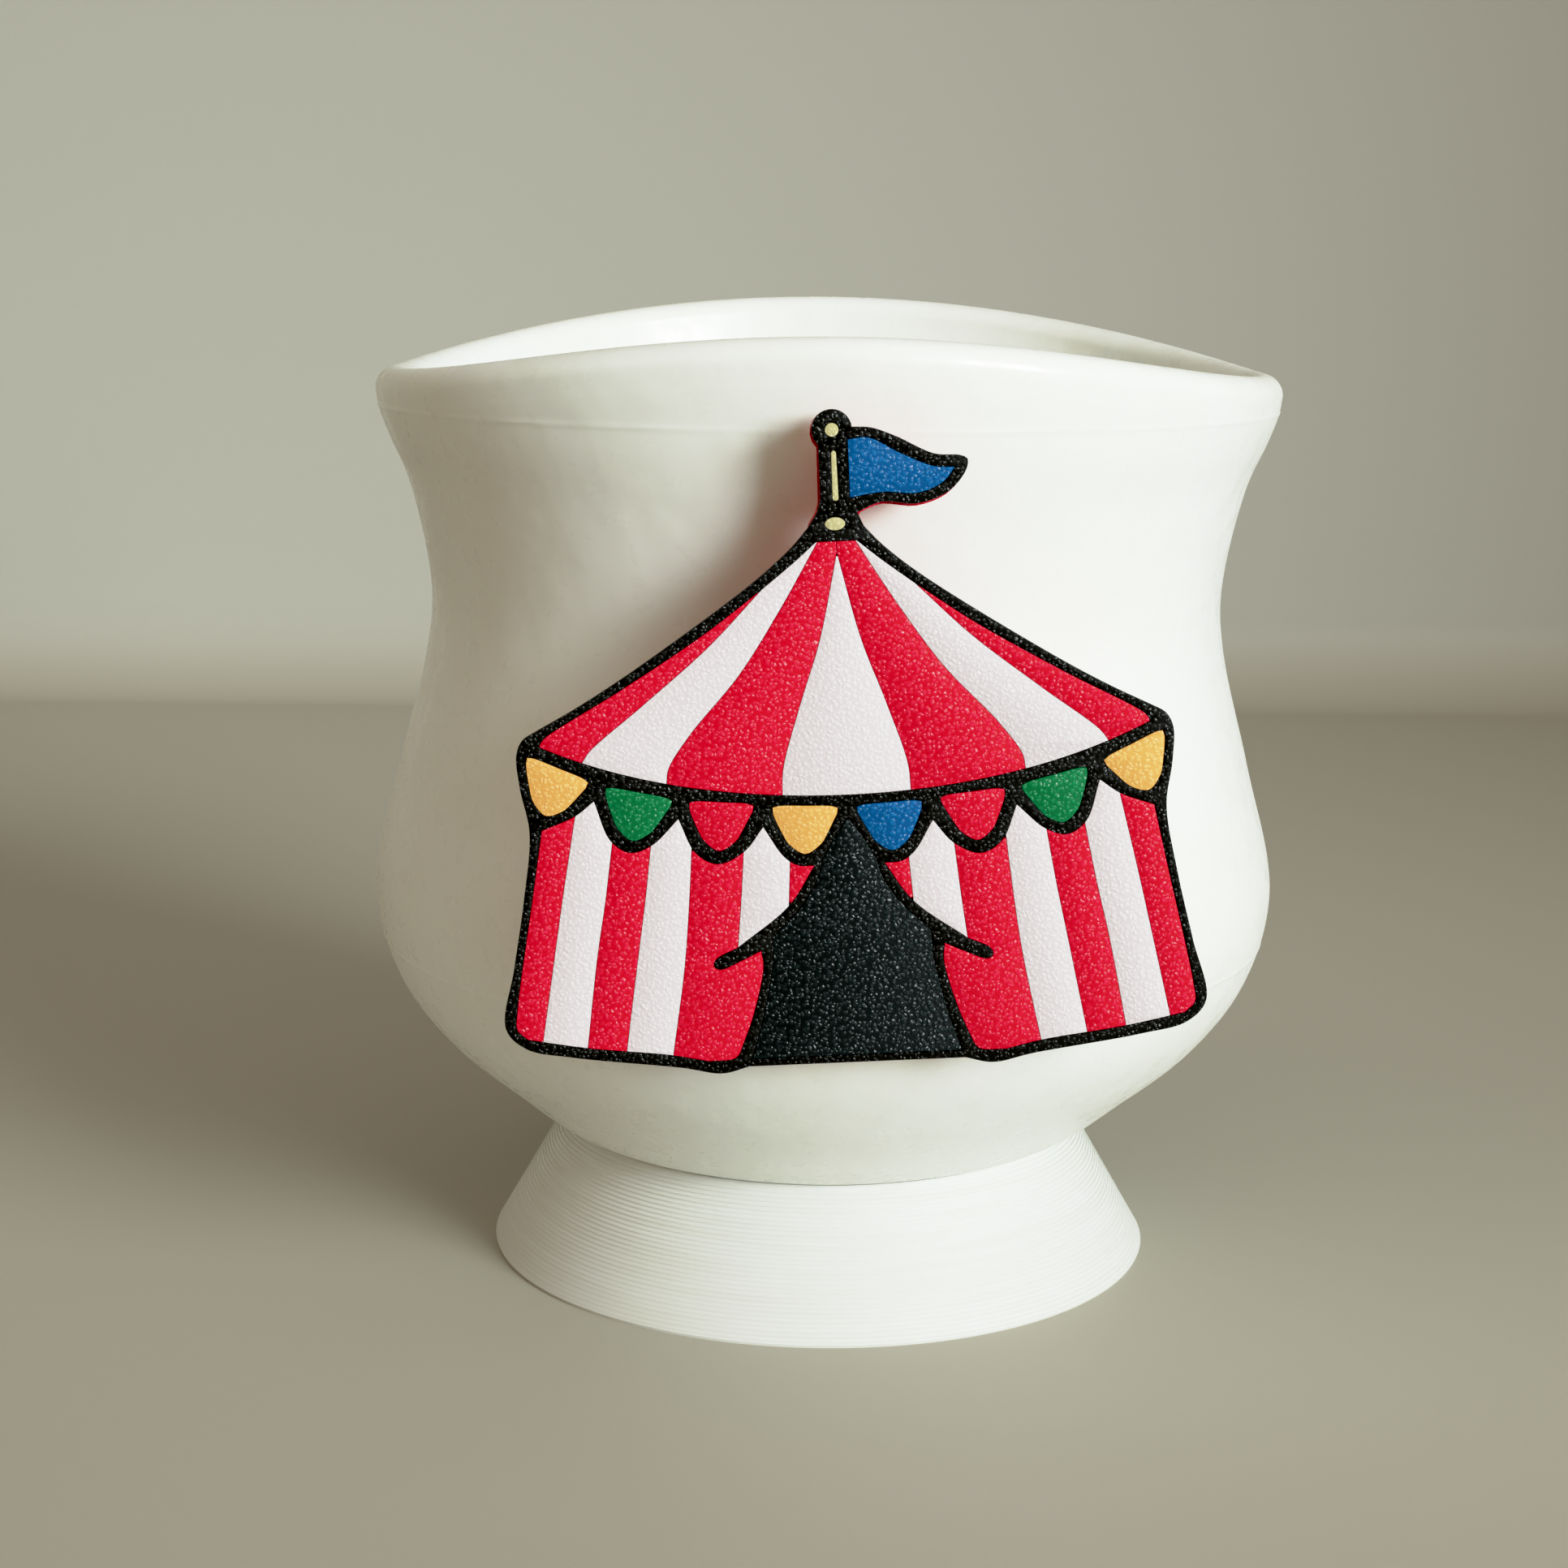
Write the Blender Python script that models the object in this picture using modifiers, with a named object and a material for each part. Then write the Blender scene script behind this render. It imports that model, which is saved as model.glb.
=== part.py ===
"""White waisted vessel on a flared foot ring, with a flat carnival tent plate on its front.

Lengths in this file are in millimetres and become metres where a mesh is made.
The table is at z = 0, the front of the object faces -Y, and the origin is the
centre of the bounding box at table height. The tent is drawn in the plane of its
plate: x to the right and y up from the foot of the doorway's centre line.
"""

import math

import bmesh
import bpy
from mathutils import Vector

MM = 0.001
GAP = 0.3                    # clearance between neighbouring solids
CURVE_STEP = 1.9             # spacing of points along a curved edge of the drawing
PROFILE_STEP = 7.0           # spacing of points along the vessel's profile
TURN_STEPS = 48              # faces around the vessel and its ring

# Vessel: outer radius against height, from the centre of the base to the lip
VESSEL_OUTSIDE = [
    (0.0, 10.8), (12.0, 11.3), (20.0, 12.5), (25.0, 13.7), (29.0, 15.0), (32.4, 16.5),
    (38.0, 21.0), (44.8, 27.0), (49.65, 34.0), (51.9, 43.6), (48.8, 58.0), (45.6, 71.0),
    (45.1, 78.0), (47.5, 90.0), (49.6, 94.9), (50.7, 98.0), (51.0, 100.0),
]
WALL = 4.6                   # wall thickness of the vessel
BELLY_RADIUS = 51.9
LIP_FLAT_Z = 100.0           # height where the rolled edge of the lip begins
LIP_LIFT_FROM = 90.0         # the wall below this height is level all round
LIP_LIFT_FRONT = 4.9         # extra height of the lip in the middle of the front
LIP_LIFT_BACK = 7.3          # and in the middle of the back
LIP_POWER_FRONT = 3.1        # how narrow the raised lip is in front
LIP_POWER_BACK = 1.8         # and at the back, where it is wider

# Foot ring
RING_BASE_RADIUS = 38.8
RING_TOP_RADIUS = 30.0
RING_SLOPE = 0.57            # radius lost for each millimetre of height
RING_WALL = 3.4

# Tent plate
PLATE_FRONT = 56.2           # from the vessel's axis to the coloured face
PLATE_THICKNESS = 4.0
FACE_THICKNESS = 0.8         # the coloured pieces set into the front
BODY_SET_BACK = 0.4          # how far the red body stays inside the black edge below the mast
BODY_SHIFT = (-0.16, -0.30)  # how far its mast and flag are off to the left and down
PLATE_X = 2.92               # foot of the doorway's centre line
PLATE_Z = 36.88
PLATE_TILT = math.radians(3.1)

# What carries the plate at the waist
BOSS_Z = 72.0
BOSS_RADIUS = 6.0
PAD_RADIUS = 7.5
PAD_THICKNESS = 1.2

AXIS_Y = (PLATE_FRONT - BELLY_RADIUS) / 2

# Tent drawing, right-hand half. Each list is a smooth edge through its points.
SILL = [(0.0, 0.2), (10.6, 0.2)]
WALL_OUTSIDE = [
    (10.6, 0.2), (13.3, -0.4), (17.3, 0.35), (27.9, 1.85), (32.4, 2.9), (34.3, 5.0), (33.1, 11.2),
    (31.75, 17.9), (30.8, 24.6), (31.45, 28.9), (31.6, 32.2), (31.0, 33.55), (29.6, 34.4),
]
ROOF_OUTSIDE = [(29.6, 34.4), (25.4, 36.6), (19.8, 39.95), (8.0, 47.9), (4.3, 51.0), (2.7, 52.75)]
NECK_RIGHT = [(2.7, 52.75), (2.1, 54.1)]
NECK_LEFT = [(-1.35, 55.6), (-1.65, 54.4), (-2.7, 52.75)]
FLAG_OUTSIDE = [
    (2.1, 54.1), (4.4, 55.0), (7.9, 54.7), (10.8, 55.7), (12.5, 57.6), (12.7, 58.7), (12.0, 59.05),
    (9.6, 59.3), (6.0, 61.1), (3.7, 62.0), (1.9, 62.15),
]
FINIAL_CENTRE = (0.0, 61.95)
FINIAL_RADIUS = 1.93
POLE_HALF_WIDTH = 1.35

FLAG_TOP = [(1.45, 61.0), (3.4, 61.1), (6.4, 59.5), (9.5, 58.15), (11.5, 58.0)]
FLAG_BOTTOM = [(11.5, 58.0), (10.3, 56.6), (8.0, 55.7), (4.6, 55.9), (1.45, 55.5)]
FINIAL_BEAD_RADIUS = 0.66
POLE_HIGHLIGHT = [(0.08, 59.75, 0.25), (0.10, 55.55, 0.30)]   # x, y and radius of its two ends
COLLAR_BEAD = (-0.05, 53.1, 0.98, 0.63)

ROOF_TOP_Y = 51.45
ROOF_EDGE_UPPER = [(1.95, 51.45), (4.2, 49.55), (7.3, 47.15)]
ROOF_EDGE_LOWER = [(7.3, 47.15), (13.0, 43.1), (21.0, 38.2), (28.9, 33.65), (29.3, 33.1)]
CENTRE_TIP_Y = 50.4
SEAM_CENTRE = [(0.0, CENTRE_TIP_Y), (2.0, 42.0), (4.15, 35.8), (6.0, 29.8)]
SEAM_CENTRE_FOOT = 6.2
SEAM_MIDDLE = [(1.8, ROOF_TOP_Y), (5.6, 45.2), (9.85, 39.0), (14.85, 33.4), (17.05, 30.2)]
SEAM_MIDDLE_FOOT = 17.3
SEAM_OUTER = [(7.3, 47.15), (12.6, 41.9), (19.2, 36.5), (24.5, 32.3)]
SEAM_OUTER_FOOT = 25.35
EAVE_Y = 26.95
EAVE_CURVE = 0.0056
EAVE_RISE = 1.5e-6

# Lower ends of the pennants' outlines, from the doorway outwards
SCALLOPS = [
    [(3.4, 20.1), (5.0, 20.2), (6.3, 21.1), (8.2, 24.15)],
    [(8.2, 24.15), (10.15, 21.8), (12.75, 20.65), (14.8, 21.8), (16.35, 25.3)],
    [(16.35, 25.3), (19.05, 22.8), (21.2, 22.15), (23.0, 23.4), (24.4, 27.4)],
    [(24.4, 27.4), (26.35, 25.97), (29.6, 24.7)],
]
WALL_EDGE = [(29.6, 24.7), (30.8, 18.5), (33.1, 6.6), (33.2, 4.9), (32.2, 3.85)]
HEM = [(14.6, 0.9), (18.05, 1.65), (26.4, 2.75), (32.2, 3.85)]
FLAP_CORNER = [(11.0, 2.8), (11.9, 1.15), (14.6, 0.9)]
DOOR_SIDE = [(8.95, 11.85), (8.8, 10.2), (10.0, 5.4), (11.0, 2.8)]
FOLD_STROKE = [(11.2, 12.25), (13.35, 11.2), (13.65, 10.5), (13.1, 10.1), (10.85, 10.95), (8.95, 11.85)]
CURTAIN = [(3.4, 20.1), (6.05, 16.2), (11.2, 12.25)]
CURTAIN_JOINT = (6.05, 16.2)
FOLD_JOINT = (11.2, 12.25)

# Seams of the walls from the outside inwards: x at the top, points between, x at the hem
WALL_SEAMS = [
    (26.3, [(27.9, 18.3), (29.3, 11.1)], 30.75),
    (22.85, [(23.85, 17.4), (24.95, 11.8)], 26.4),
    (19.15, [(20.0, 17.2), (20.95, 11.8)], 22.6),
    (15.2, [(15.75, 16.6), (16.5, 10.4)], 18.05),
]
INNER_SEAM_TOP = 10.2
INNER_SEAM_BEND = (10.65, 17.1)
TIP_SEAM_TOP = 5.75

DOORWAY = [
    [(0.0, 24.7), (1.3, 22.9), (2.6, 20.6)],
    [(2.6, 20.6), (3.3, 18.4), (5.1, 15.8), (7.7, 13.2)],
    [(7.7, 13.2), (7.85, 10.4), (9.05, 5.0), (10.3, 0.95)],
]

# Corners of the pennants: two at the eave string and the one that hangs
PENNANTS = [
    ((0.7, 25.85), (7.4, 26.15), (4.25, 20.25)),
    ((8.8, 26.4), (15.4, 27.0), (12.6, 20.9)),
    ((16.6, 27.2), (23.35, 28.8), (21.05, 22.3)),
    ((24.6, 29.3), (30.7, 32.15), (29.45, 25.15)),
]
PENNANT_TOP_ROUND = (0.75, 0.40)   # how far from a corner the rounding starts, and its depth
PENNANT_TIP_ROUND = (2.6, 0.5)
PENNANT_BULGES = (0.05, 0.42, 0.32)   # how full its top and its outer and inner sides are
PENNANT_COLOURS = ["yellow", "green", "red", "yellow", "blue", "red", "green", "yellow"]

# Colour, roughness and metallic value of each finish
FINISHES = {
    "milky": ((0.86, 0.89, 0.86), 0.38, 0.0),
    "ring": ((0.80, 0.82, 0.79), 0.62, 0.0),
    "red": ((0.72, 0.025, 0.055), 0.40, 0.0),
    "white": ((0.78, 0.76, 0.77), 0.42, 0.0),
    "black": ((0.008, 0.008, 0.007), 0.40, 0.0),
    "slate": ((0.011, 0.018, 0.020), 0.42, 0.0),
    "green": ((0.017, 0.23, 0.08), 0.40, 0.0),
    "blue": ((0.010, 0.13, 0.38), 0.40, 0.0),
    "yellow": ((0.79, 0.53, 0.16), 0.42, 0.0),
    "straw": ((0.62, 0.57, 0.30), 0.42, 0.0),
    "pad": ((0.55, 0.55, 0.53), 0.85, 0.0),
}


def clear_scene():
    """Remove what the file opened with."""
    for item in list(bpy.data.objects):
        bpy.data.objects.remove(item, do_unlink=True)


def new_collection(name):
    """Make a collection under the scene."""
    made = bpy.data.collections.new(name)
    bpy.context.scene.collection.children.link(made)
    return made


def paint(target, finish):
    """Give an object a material of its own with the named finish."""
    colour, roughness, metallic = FINISHES[finish]
    material = bpy.data.materials.new(f"{target.name}_{finish}")
    material.use_nodes = True
    shader = material.node_tree.nodes["Principled BSDF"]
    shader.inputs["Base Color"].default_value = (*colour, 1.0)
    shader.inputs["Roughness"].default_value = roughness
    shader.inputs["Metallic"].default_value = metallic
    material.diffuse_color = (*colour, 1.0)
    target.data.materials.append(material)


def smooth(points, step=CURVE_STEP):
    """Points along a centripetal Catmull-Rom curve through the given points."""
    knots = [Vector(point) for point in points]
    if len(knots) == 2:
        return knots
    knots = [2 * knots[0] - knots[1], *knots, 2 * knots[-1] - knots[-2]]
    line = []
    for a, b, c, d in zip(knots, knots[1:], knots[2:], knots[3:]):
        t1 = math.sqrt((b - a).length)
        t2 = t1 + math.sqrt((c - b).length)
        t3 = t2 + math.sqrt((d - c).length)
        count = max(1, round((c - b).length / step))
        for index in range(count):
            t = t1 + (t2 - t1) * index / count
            ab = a.lerp(b, t / t1)
            bc = b.lerp(c, (t - t1) / (t2 - t1))
            cd = c.lerp(d, (t - t2) / (t3 - t2))
            abc = ab.lerp(bc, t / t2)
            bcd = bc.lerp(cd, (t - t1) / (t3 - t1))
            line.append(abc.lerp(bcd, (t - t1) / (t2 - t1)))
    return [*line, knots[-2]]


def arc(centre, radius, start, end, count):
    """Points on a circular arc, angles in degrees."""
    angles = [math.radians(start + (end - start) * index / count) for index in range(count + 1)]
    return [Vector((centre[0] + radius * math.cos(a), centre[1] + radius * math.sin(a))) for a in angles]


def ellipse(x, y, half_width, half_height, count=14):
    """Points around an ellipse."""
    return [Vector((x + half_width * p.x, y + half_height * p.y)) for p in arc((0, 0), 1, 0, 360, count)[:-1]]


def capsule(top, bottom, count=6):
    """An upright bar with round ends, each end given as x, y and radius."""
    return [*arc(top[:2], top[2], 0, 180, count), *arc(bottom[:2], bottom[2], 180, 360, count)]


def mirrored(line):
    """The same line on the left of the tent, run in the other direction."""
    return [Vector((-point.x, point.y)) for point in reversed(line)]


def joined(*lines):
    """One closed loop from lines that meet end to end."""
    loop = []
    for point in [point for line in lines for point in line]:
        if not loop or (point - loop[-1]).length > GAP / 4:
            loop.append(point)
    if (loop[0] - loop[-1]).length <= GAP / 4:
        loop.pop()
    return loop


def point_at(line, x):
    """The point of a left-to-right line at a given x."""
    for a, b in zip(line, line[1:]):
        if a.x <= x <= b.x:
            return a.lerp(b, (x - a.x) / (b.x - a.x))
    return line[-1].copy()


def stretch(line, start, end):
    """The part of a left-to-right line between two x values."""
    inner = [point for point in line if start + GAP < point.x < end - GAP]
    return [point_at(line, start), *inner, point_at(line, end)]


def distance_to_loop(point, loop):
    """Shortest distance from a point to the edges of a loop."""
    nearest = math.inf
    for a, b in zip(loop, [*loop[1:], loop[0]]):
        run = b - a
        part = max(0.0, min(1.0, (point - a).dot(run) / run.length_squared))
        nearest = min(nearest, (point - a - run * part).length)
    return nearest


def grown(loop, distance):
    """The loop moved outwards by a distance, or inwards where it is negative."""
    ahead = [*loop[1:], loop[0]]
    area = sum(a.x * b.y - b.x * a.y for a, b in zip(loop, ahead))
    turn = 1 if area > 0 else -1
    normals = [Vector((b.y - a.y, a.x - b.x)).normalized() * turn for a, b in zip(loop, ahead)]
    moved = []
    for before, here, point in zip([normals[-1], *normals[:-1]], normals, loop):
        place = point + (before + here) * (distance / (1 + before.dot(here)))
        if distance_to_loop(place, loop) > abs(distance) * 0.98:
            moved.append(place)
    return moved


def sheet(name, loops, back, front, finish, collection, frame):
    """A flat piece of the plate between two depths; loops after the first are holes."""
    shape = bpy.data.curves.new(name, "CURVE")
    shape.dimensions = "2D"
    shape.fill_mode = "BOTH"
    shape.extrude = (front - back) / 2 * MM
    for loop in loops:
        spline = shape.splines.new("POLY")
        spline.points.add(len(loop) - 1)
        for knot, point in zip(spline.points, loop):
            knot.co = (point.x * MM, point.y * MM, 0.0, 1.0)
        spline.use_cyclic_u = True
    made = bpy.data.objects.new(name, shape)
    made.parent = frame
    made.location = (0.0, 0.0, (front + back) / 2 * MM)
    collection.objects.link(made)
    paint(made, finish)
    return made


def turned(name, profile, closed, collection):
    """A body turned about the vessel's axis; the profile runs down its outer side."""
    mesh = bpy.data.meshes.new(name)
    points = [(radius * MM, 0.0, height * MM) for radius, height in profile]
    edges = [(index, index + 1) for index in range(len(points) - 1)]
    if closed:
        edges.append((len(points) - 1, 0))
    mesh.from_pydata(points, edges, [])
    draft = bpy.data.objects.new(f"{name}_draft", mesh)
    collection.objects.link(draft)
    screw = draft.modifiers.new("turn", "SCREW")
    screw.steps = TURN_STEPS
    screw.render_steps = TURN_STEPS
    screw.use_merge_vertices = True
    screw.merge_threshold = 0.00001
    bpy.context.view_layer.update()
    evaluated = draft.evaluated_get(bpy.context.evaluated_depsgraph_get())
    solid = bpy.data.objects.new(name, bpy.data.meshes.new_from_object(evaluated))
    solid.data.name = name
    bpy.data.objects.remove(draft)
    solid.location = (0.0, AXIS_Y * MM, 0.0)
    solid.data.shade_smooth()
    solid.data.set_sharp_from_angle(angle=math.radians(35))
    collection.objects.link(solid)
    return solid


def offset_profile(profile, distance):
    """An open profile of (radius, height) points moved along its own normals."""
    points = [Vector(point) for point in profile]
    moved = []
    for index, point in enumerate(points):
        before = points[max(index - 1, 0)]
        after = points[min(index + 1, len(points) - 1)]
        along = (after - before).normalized()
        shifted = point + Vector((along.y, -along.x)) * distance
        moved.append(Vector((max(shifted.x, 0.0), shifted.y)))
    return moved


def vessel_outside():
    """The vessel's outer profile from the centre of its base to the lip."""
    return smooth(VESSEL_OUTSIDE, PROFILE_STEP)


def raise_lips(mesh):
    """Lift the lip in the middle of the front and of the back, more the higher a point is."""
    for vertex in mesh.vertices:
        place = vertex.co
        radius = math.hypot(place.x, place.y)
        share = min((place.z / MM - LIP_LIFT_FROM) / (LIP_FLAT_Z - LIP_LIFT_FROM), 1.0)
        if share <= 0:
            continue
        share = share * share * (3 - 2 * share)
        lift, power = (LIP_LIFT_FRONT, LIP_POWER_FRONT) if place.y < 0 else (LIP_LIFT_BACK, LIP_POWER_BACK)
        place.z += share * lift * abs(place.y / radius) ** power * MM


def build_vessel(parts):
    """The hollow vessel: its wall follows the outside, with a rolled lip."""
    outside = vessel_outside()
    inside = offset_profile(outside, -WALL)
    inside[0].x = 0.0
    inside[-1] = Vector((outside[-1].x - WALL, LIP_FLAT_Z))
    lip_centre = ((outside[-1].x + inside[-1].x) / 2, LIP_FLAT_Z)
    lip = arc(lip_centre, WALL / 2, 180, 0, 8)
    profile = [*inside[:-1], *lip, *reversed(outside[:-1])]
    vessel = turned("vessel_bowl", profile, False, parts)
    raise_lips(vessel.data)
    paint(vessel, "milky")


def build_foot_ring(parts):
    """The flared ring; its top edge is a seat cut to the vessel's underside."""
    under = offset_profile(vessel_outside(), GAP)
    inner_base = RING_BASE_RADIUS - RING_WALL
    seat_outer = RING_TOP_RADIUS
    seat_inner = inner_base - RING_SLOPE * point_at(under, RING_TOP_RADIUS - RING_WALL).y
    seat = [point_at(under, seat_inner + (seat_outer - seat_inner) * k / 3) for k in range(4)]
    profile = [seat[3], Vector((RING_BASE_RADIUS, 0.0)), Vector((inner_base, 0.0)), *seat[:3]]
    ring = turned("foot_ring", profile, True, parts)
    paint(ring, "ring")


def build_waist_cutter(name, clearance, cutters):
    """A solid of the vessel's outside, grown by a clearance, for trimming the mounting."""
    outside = offset_profile(vessel_outside(), clearance)
    outside[0].x = 0.0
    profile = [Vector((0.0, outside[-1].y)), *reversed(outside)]
    cutter = turned(name, profile, False, cutters)
    cutter.hide_render = True
    cutter.display_type = "WIRE"
    return cutter


def plug(name, radius, front, depth, parts):
    """A short cylinder along Y behind the plate, at the height of the waist."""
    mesh = bpy.data.meshes.new(name)
    body = bmesh.new()
    bmesh.ops.create_cone(
        body, cap_ends=True, segments=32, radius1=radius * MM, radius2=radius * MM, depth=depth * MM)
    body.to_mesh(mesh)
    body.free()
    made = bpy.data.objects.new(name, mesh)
    made.rotation_euler = (math.radians(90), 0.0, 0.0)
    centre_x = PLATE_X - (BOSS_Z - PLATE_Z) * math.tan(PLATE_TILT)
    made.location = (centre_x * MM, (AXIS_Y - front + depth / 2) * MM, BOSS_Z * MM)
    parts.objects.link(made)
    return made


def trim(target, cutter, operation):
    """Cut an object with another one."""
    cut = target.modifiers.new(f"{operation.lower()}_{cutter.name}", "BOOLEAN")
    cut.operation = operation
    cut.object = cutter
    cut.solver = "EXACT"


def build_mounting(parts, cutters):
    """A boss behind the plate and a pad on the vessel's waist between them."""
    back = PLATE_FRONT - PLATE_THICKNESS
    skin = build_waist_cutter("waist_clearance", GAP, cutters)
    pad_face = build_waist_cutter("pad_face", GAP + PAD_THICKNESS, cutters)
    boss_seat = build_waist_cutter("boss_seat", 2 * GAP + PAD_THICKNESS, cutters)
    boss = plug("mounting_boss", BOSS_RADIUS, back - GAP, 10.0, parts)
    trim(boss, boss_seat, "DIFFERENCE")
    paint(boss, "red")
    pad = plug("mounting_pad", PAD_RADIUS, back - GAP, 12.0, parts)
    trim(pad, pad_face, "INTERSECT")
    trim(pad, skin, "DIFFERENCE")
    paint(pad, "pad")


def plate_outline():
    """The silhouette of the tent with its mast and flag, anticlockwise from the sill."""
    half = [smooth(edge) for edge in (SILL, WALL_OUTSIDE, ROOF_OUTSIDE)]
    foot_angle = math.degrees(math.acos(POLE_HALF_WIDTH / FINIAL_RADIUS))
    finial = arc(FINIAL_CENTRE, FINIAL_RADIUS, 6, 180 + foot_angle, 12)
    left = [mirrored(edge) for edge in reversed(half)]
    return joined(*half, smooth(NECK_RIGHT), smooth(FLAG_OUTSIDE), finial, smooth(NECK_LEFT), *left)


def eave(start, end):
    """The upper edge of the eave string between two x values, which may run either way."""
    count = max(2, round(abs(end - start) / CURVE_STEP / 1.5))
    steps = [start + (end - start) * index / count for index in range(count + 1)]
    return [Vector((x, EAVE_Y + EAVE_CURVE * x ** 2 + EAVE_RISE * x ** 4)) for x in steps]


def seam(points, foot):
    """A seam of the roof from the top down to its foot on the eave."""
    return smooth([*points, eave(foot, foot + 1)[0]])


def body_outline(outline):
    """The red body's edge: set back under the roof and the walls, shifted at the mast and flag."""
    neck_y = NECK_RIGHT[0][1]
    mast = [point + Vector(BODY_SHIFT) for point in outline if point.y > neck_y]
    below = [point for point in grown(outline, -BODY_SET_BACK) if point.y <= neck_y]
    right = [point for point in below if point.x >= 0]
    left = [point for point in below if point.x < 0]
    return joined(right, mast, left)


def roof_panels():
    """Loops of the right-hand roof panels, from the centre outwards."""
    centre = seam(SEAM_CENTRE, SEAM_CENTRE_FOOT)
    middle = seam(SEAM_MIDDLE, SEAM_MIDDLE_FOOT)
    outer = seam(SEAM_OUTER, SEAM_OUTER_FOOT)
    upper = smooth(ROOF_EDGE_UPPER)
    lower = smooth(ROOF_EDGE_LOWER)
    apex = [Vector((0.0, ROOF_TOP_Y))]
    tip = lower[-1].x
    return [
        joined(mirrored(centre), centre, eave(SEAM_CENTRE_FOOT, -SEAM_CENTRE_FOOT)),
        joined(apex, centre, eave(SEAM_CENTRE_FOOT, SEAM_MIDDLE_FOOT), middle[::-1]),
        joined(middle, eave(SEAM_MIDDLE_FOOT, SEAM_OUTER_FOOT), outer[::-1], upper[::-1]),
        joined(outer, eave(SEAM_OUTER_FOOT, tip), lower[::-1]),
    ]


def roof_window():
    """The opening of the black outline that holds the whole roof."""
    edge = joined(smooth(ROOF_EDGE_UPPER), smooth(ROOF_EDGE_LOWER))
    tip = edge[-1].x
    return joined(edge, eave(tip, -tip), mirrored(edge))


def scallops():
    """The line under the pennants, left to right, for the right-hand wall."""
    return joined(*[smooth(edge) for edge in SCALLOPS])


def wall_window():
    """The opening of the black outline that holds the right-hand wall."""
    sides = [WALL_EDGE, HEM[::-1], FLAP_CORNER[::-1], DOOR_SIDE[::-1], FOLD_STROKE[::-1], CURTAIN[::-1]]
    return joined(scallops(), *[smooth(side) for side in sides])


def wall_panels():
    """Loops of the right-hand wall panels, from the outer edge inwards."""
    top = scallops()
    hem = smooth(HEM)
    seams = []
    for top_x, between, foot_x in WALL_SEAMS:
        seams.append(smooth([point_at(top, top_x), *between, point_at(hem, foot_x)]))
    curtain = smooth(CURTAIN)
    inner_seam = smooth([point_at(top, INNER_SEAM_TOP), INNER_SEAM_BEND, FOLD_JOINT])
    tip_seam = [point_at(top, TIP_SEAM_TOP), Vector(CURTAIN_JOINT)]
    upper_curtain = stretch(curtain, curtain[0].x, CURTAIN_JOINT[0])
    lower_curtain = stretch(curtain, CURTAIN_JOINT[0], FOLD_JOINT[0])
    feet = [seam_line[-1].x for seam_line in seams]
    tops = [seam_line[0].x for seam_line in seams]
    edge = smooth(WALL_EDGE)
    loops = [joined(
        stretch(top, tops[0], edge[0].x), edge, stretch(hem, feet[0], hem[-1].x)[::-1], seams[0][::-1])]
    for outer, inner in zip(range(3), range(1, 4)):
        loops.append(joined(
            stretch(top, tops[inner], tops[outer]), seams[outer],
            stretch(hem, feet[inner], feet[outer])[::-1], seams[inner][::-1]))
    inner_sides = [smooth(side)[::-1] for side in (FLAP_CORNER, DOOR_SIDE, FOLD_STROKE)]
    loops.append(joined(
        stretch(top, INNER_SEAM_TOP, tops[3]), seams[3], stretch(hem, hem[0].x, feet[3])[::-1],
        *inner_sides, inner_seam[::-1]))
    loops.append(joined(
        stretch(top, TIP_SEAM_TOP, INNER_SEAM_TOP), inner_seam, lower_curtain[::-1], tip_seam[::-1]))
    loops.append(joined(stretch(top, top[0].x, TIP_SEAM_TOP), tip_seam, upper_curtain[::-1]))
    return loops


def full_side(first, last, bulge, distance):
    """A point of a pennant's slightly curved side, at a distance from the first corner."""
    run = last - first
    part = distance / run.length
    out = Vector((-run.y, run.x)).normalized() * bulge
    return first.lerp(last, part) + out * 4 * part * (1 - part)


def pennant(corners):
    """A hanging triangle with slightly full sides and rounded corners."""
    knots = [Vector(corner) for corner in corners]
    sides = list(zip(knots, [*knots[1:], knots[0]], PENNANT_BULGES))
    rounds = [PENNANT_TOP_ROUND, PENNANT_TOP_ROUND, PENNANT_TIP_ROUND]
    loop = []
    for index, (knot, (reach, depth)) in enumerate(zip(knots, rounds)):
        before = sides[index - 1]
        after = sides[index]
        start = full_side(*before, (before[1] - before[0]).length - reach)
        end = full_side(*after, reach)
        pull = knot.lerp((start + end) / 2, depth)
        loop += [start, pull, end, full_side(*after, (after[1] - after[0]).length / 2)]
    return joined(smooth([*loop, loop[0]]))


def doorway():
    """The dark opening between the curtains."""
    half = joined(*[smooth(edge) for edge in DOORWAY])
    return joined(half, mirrored(half))


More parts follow.
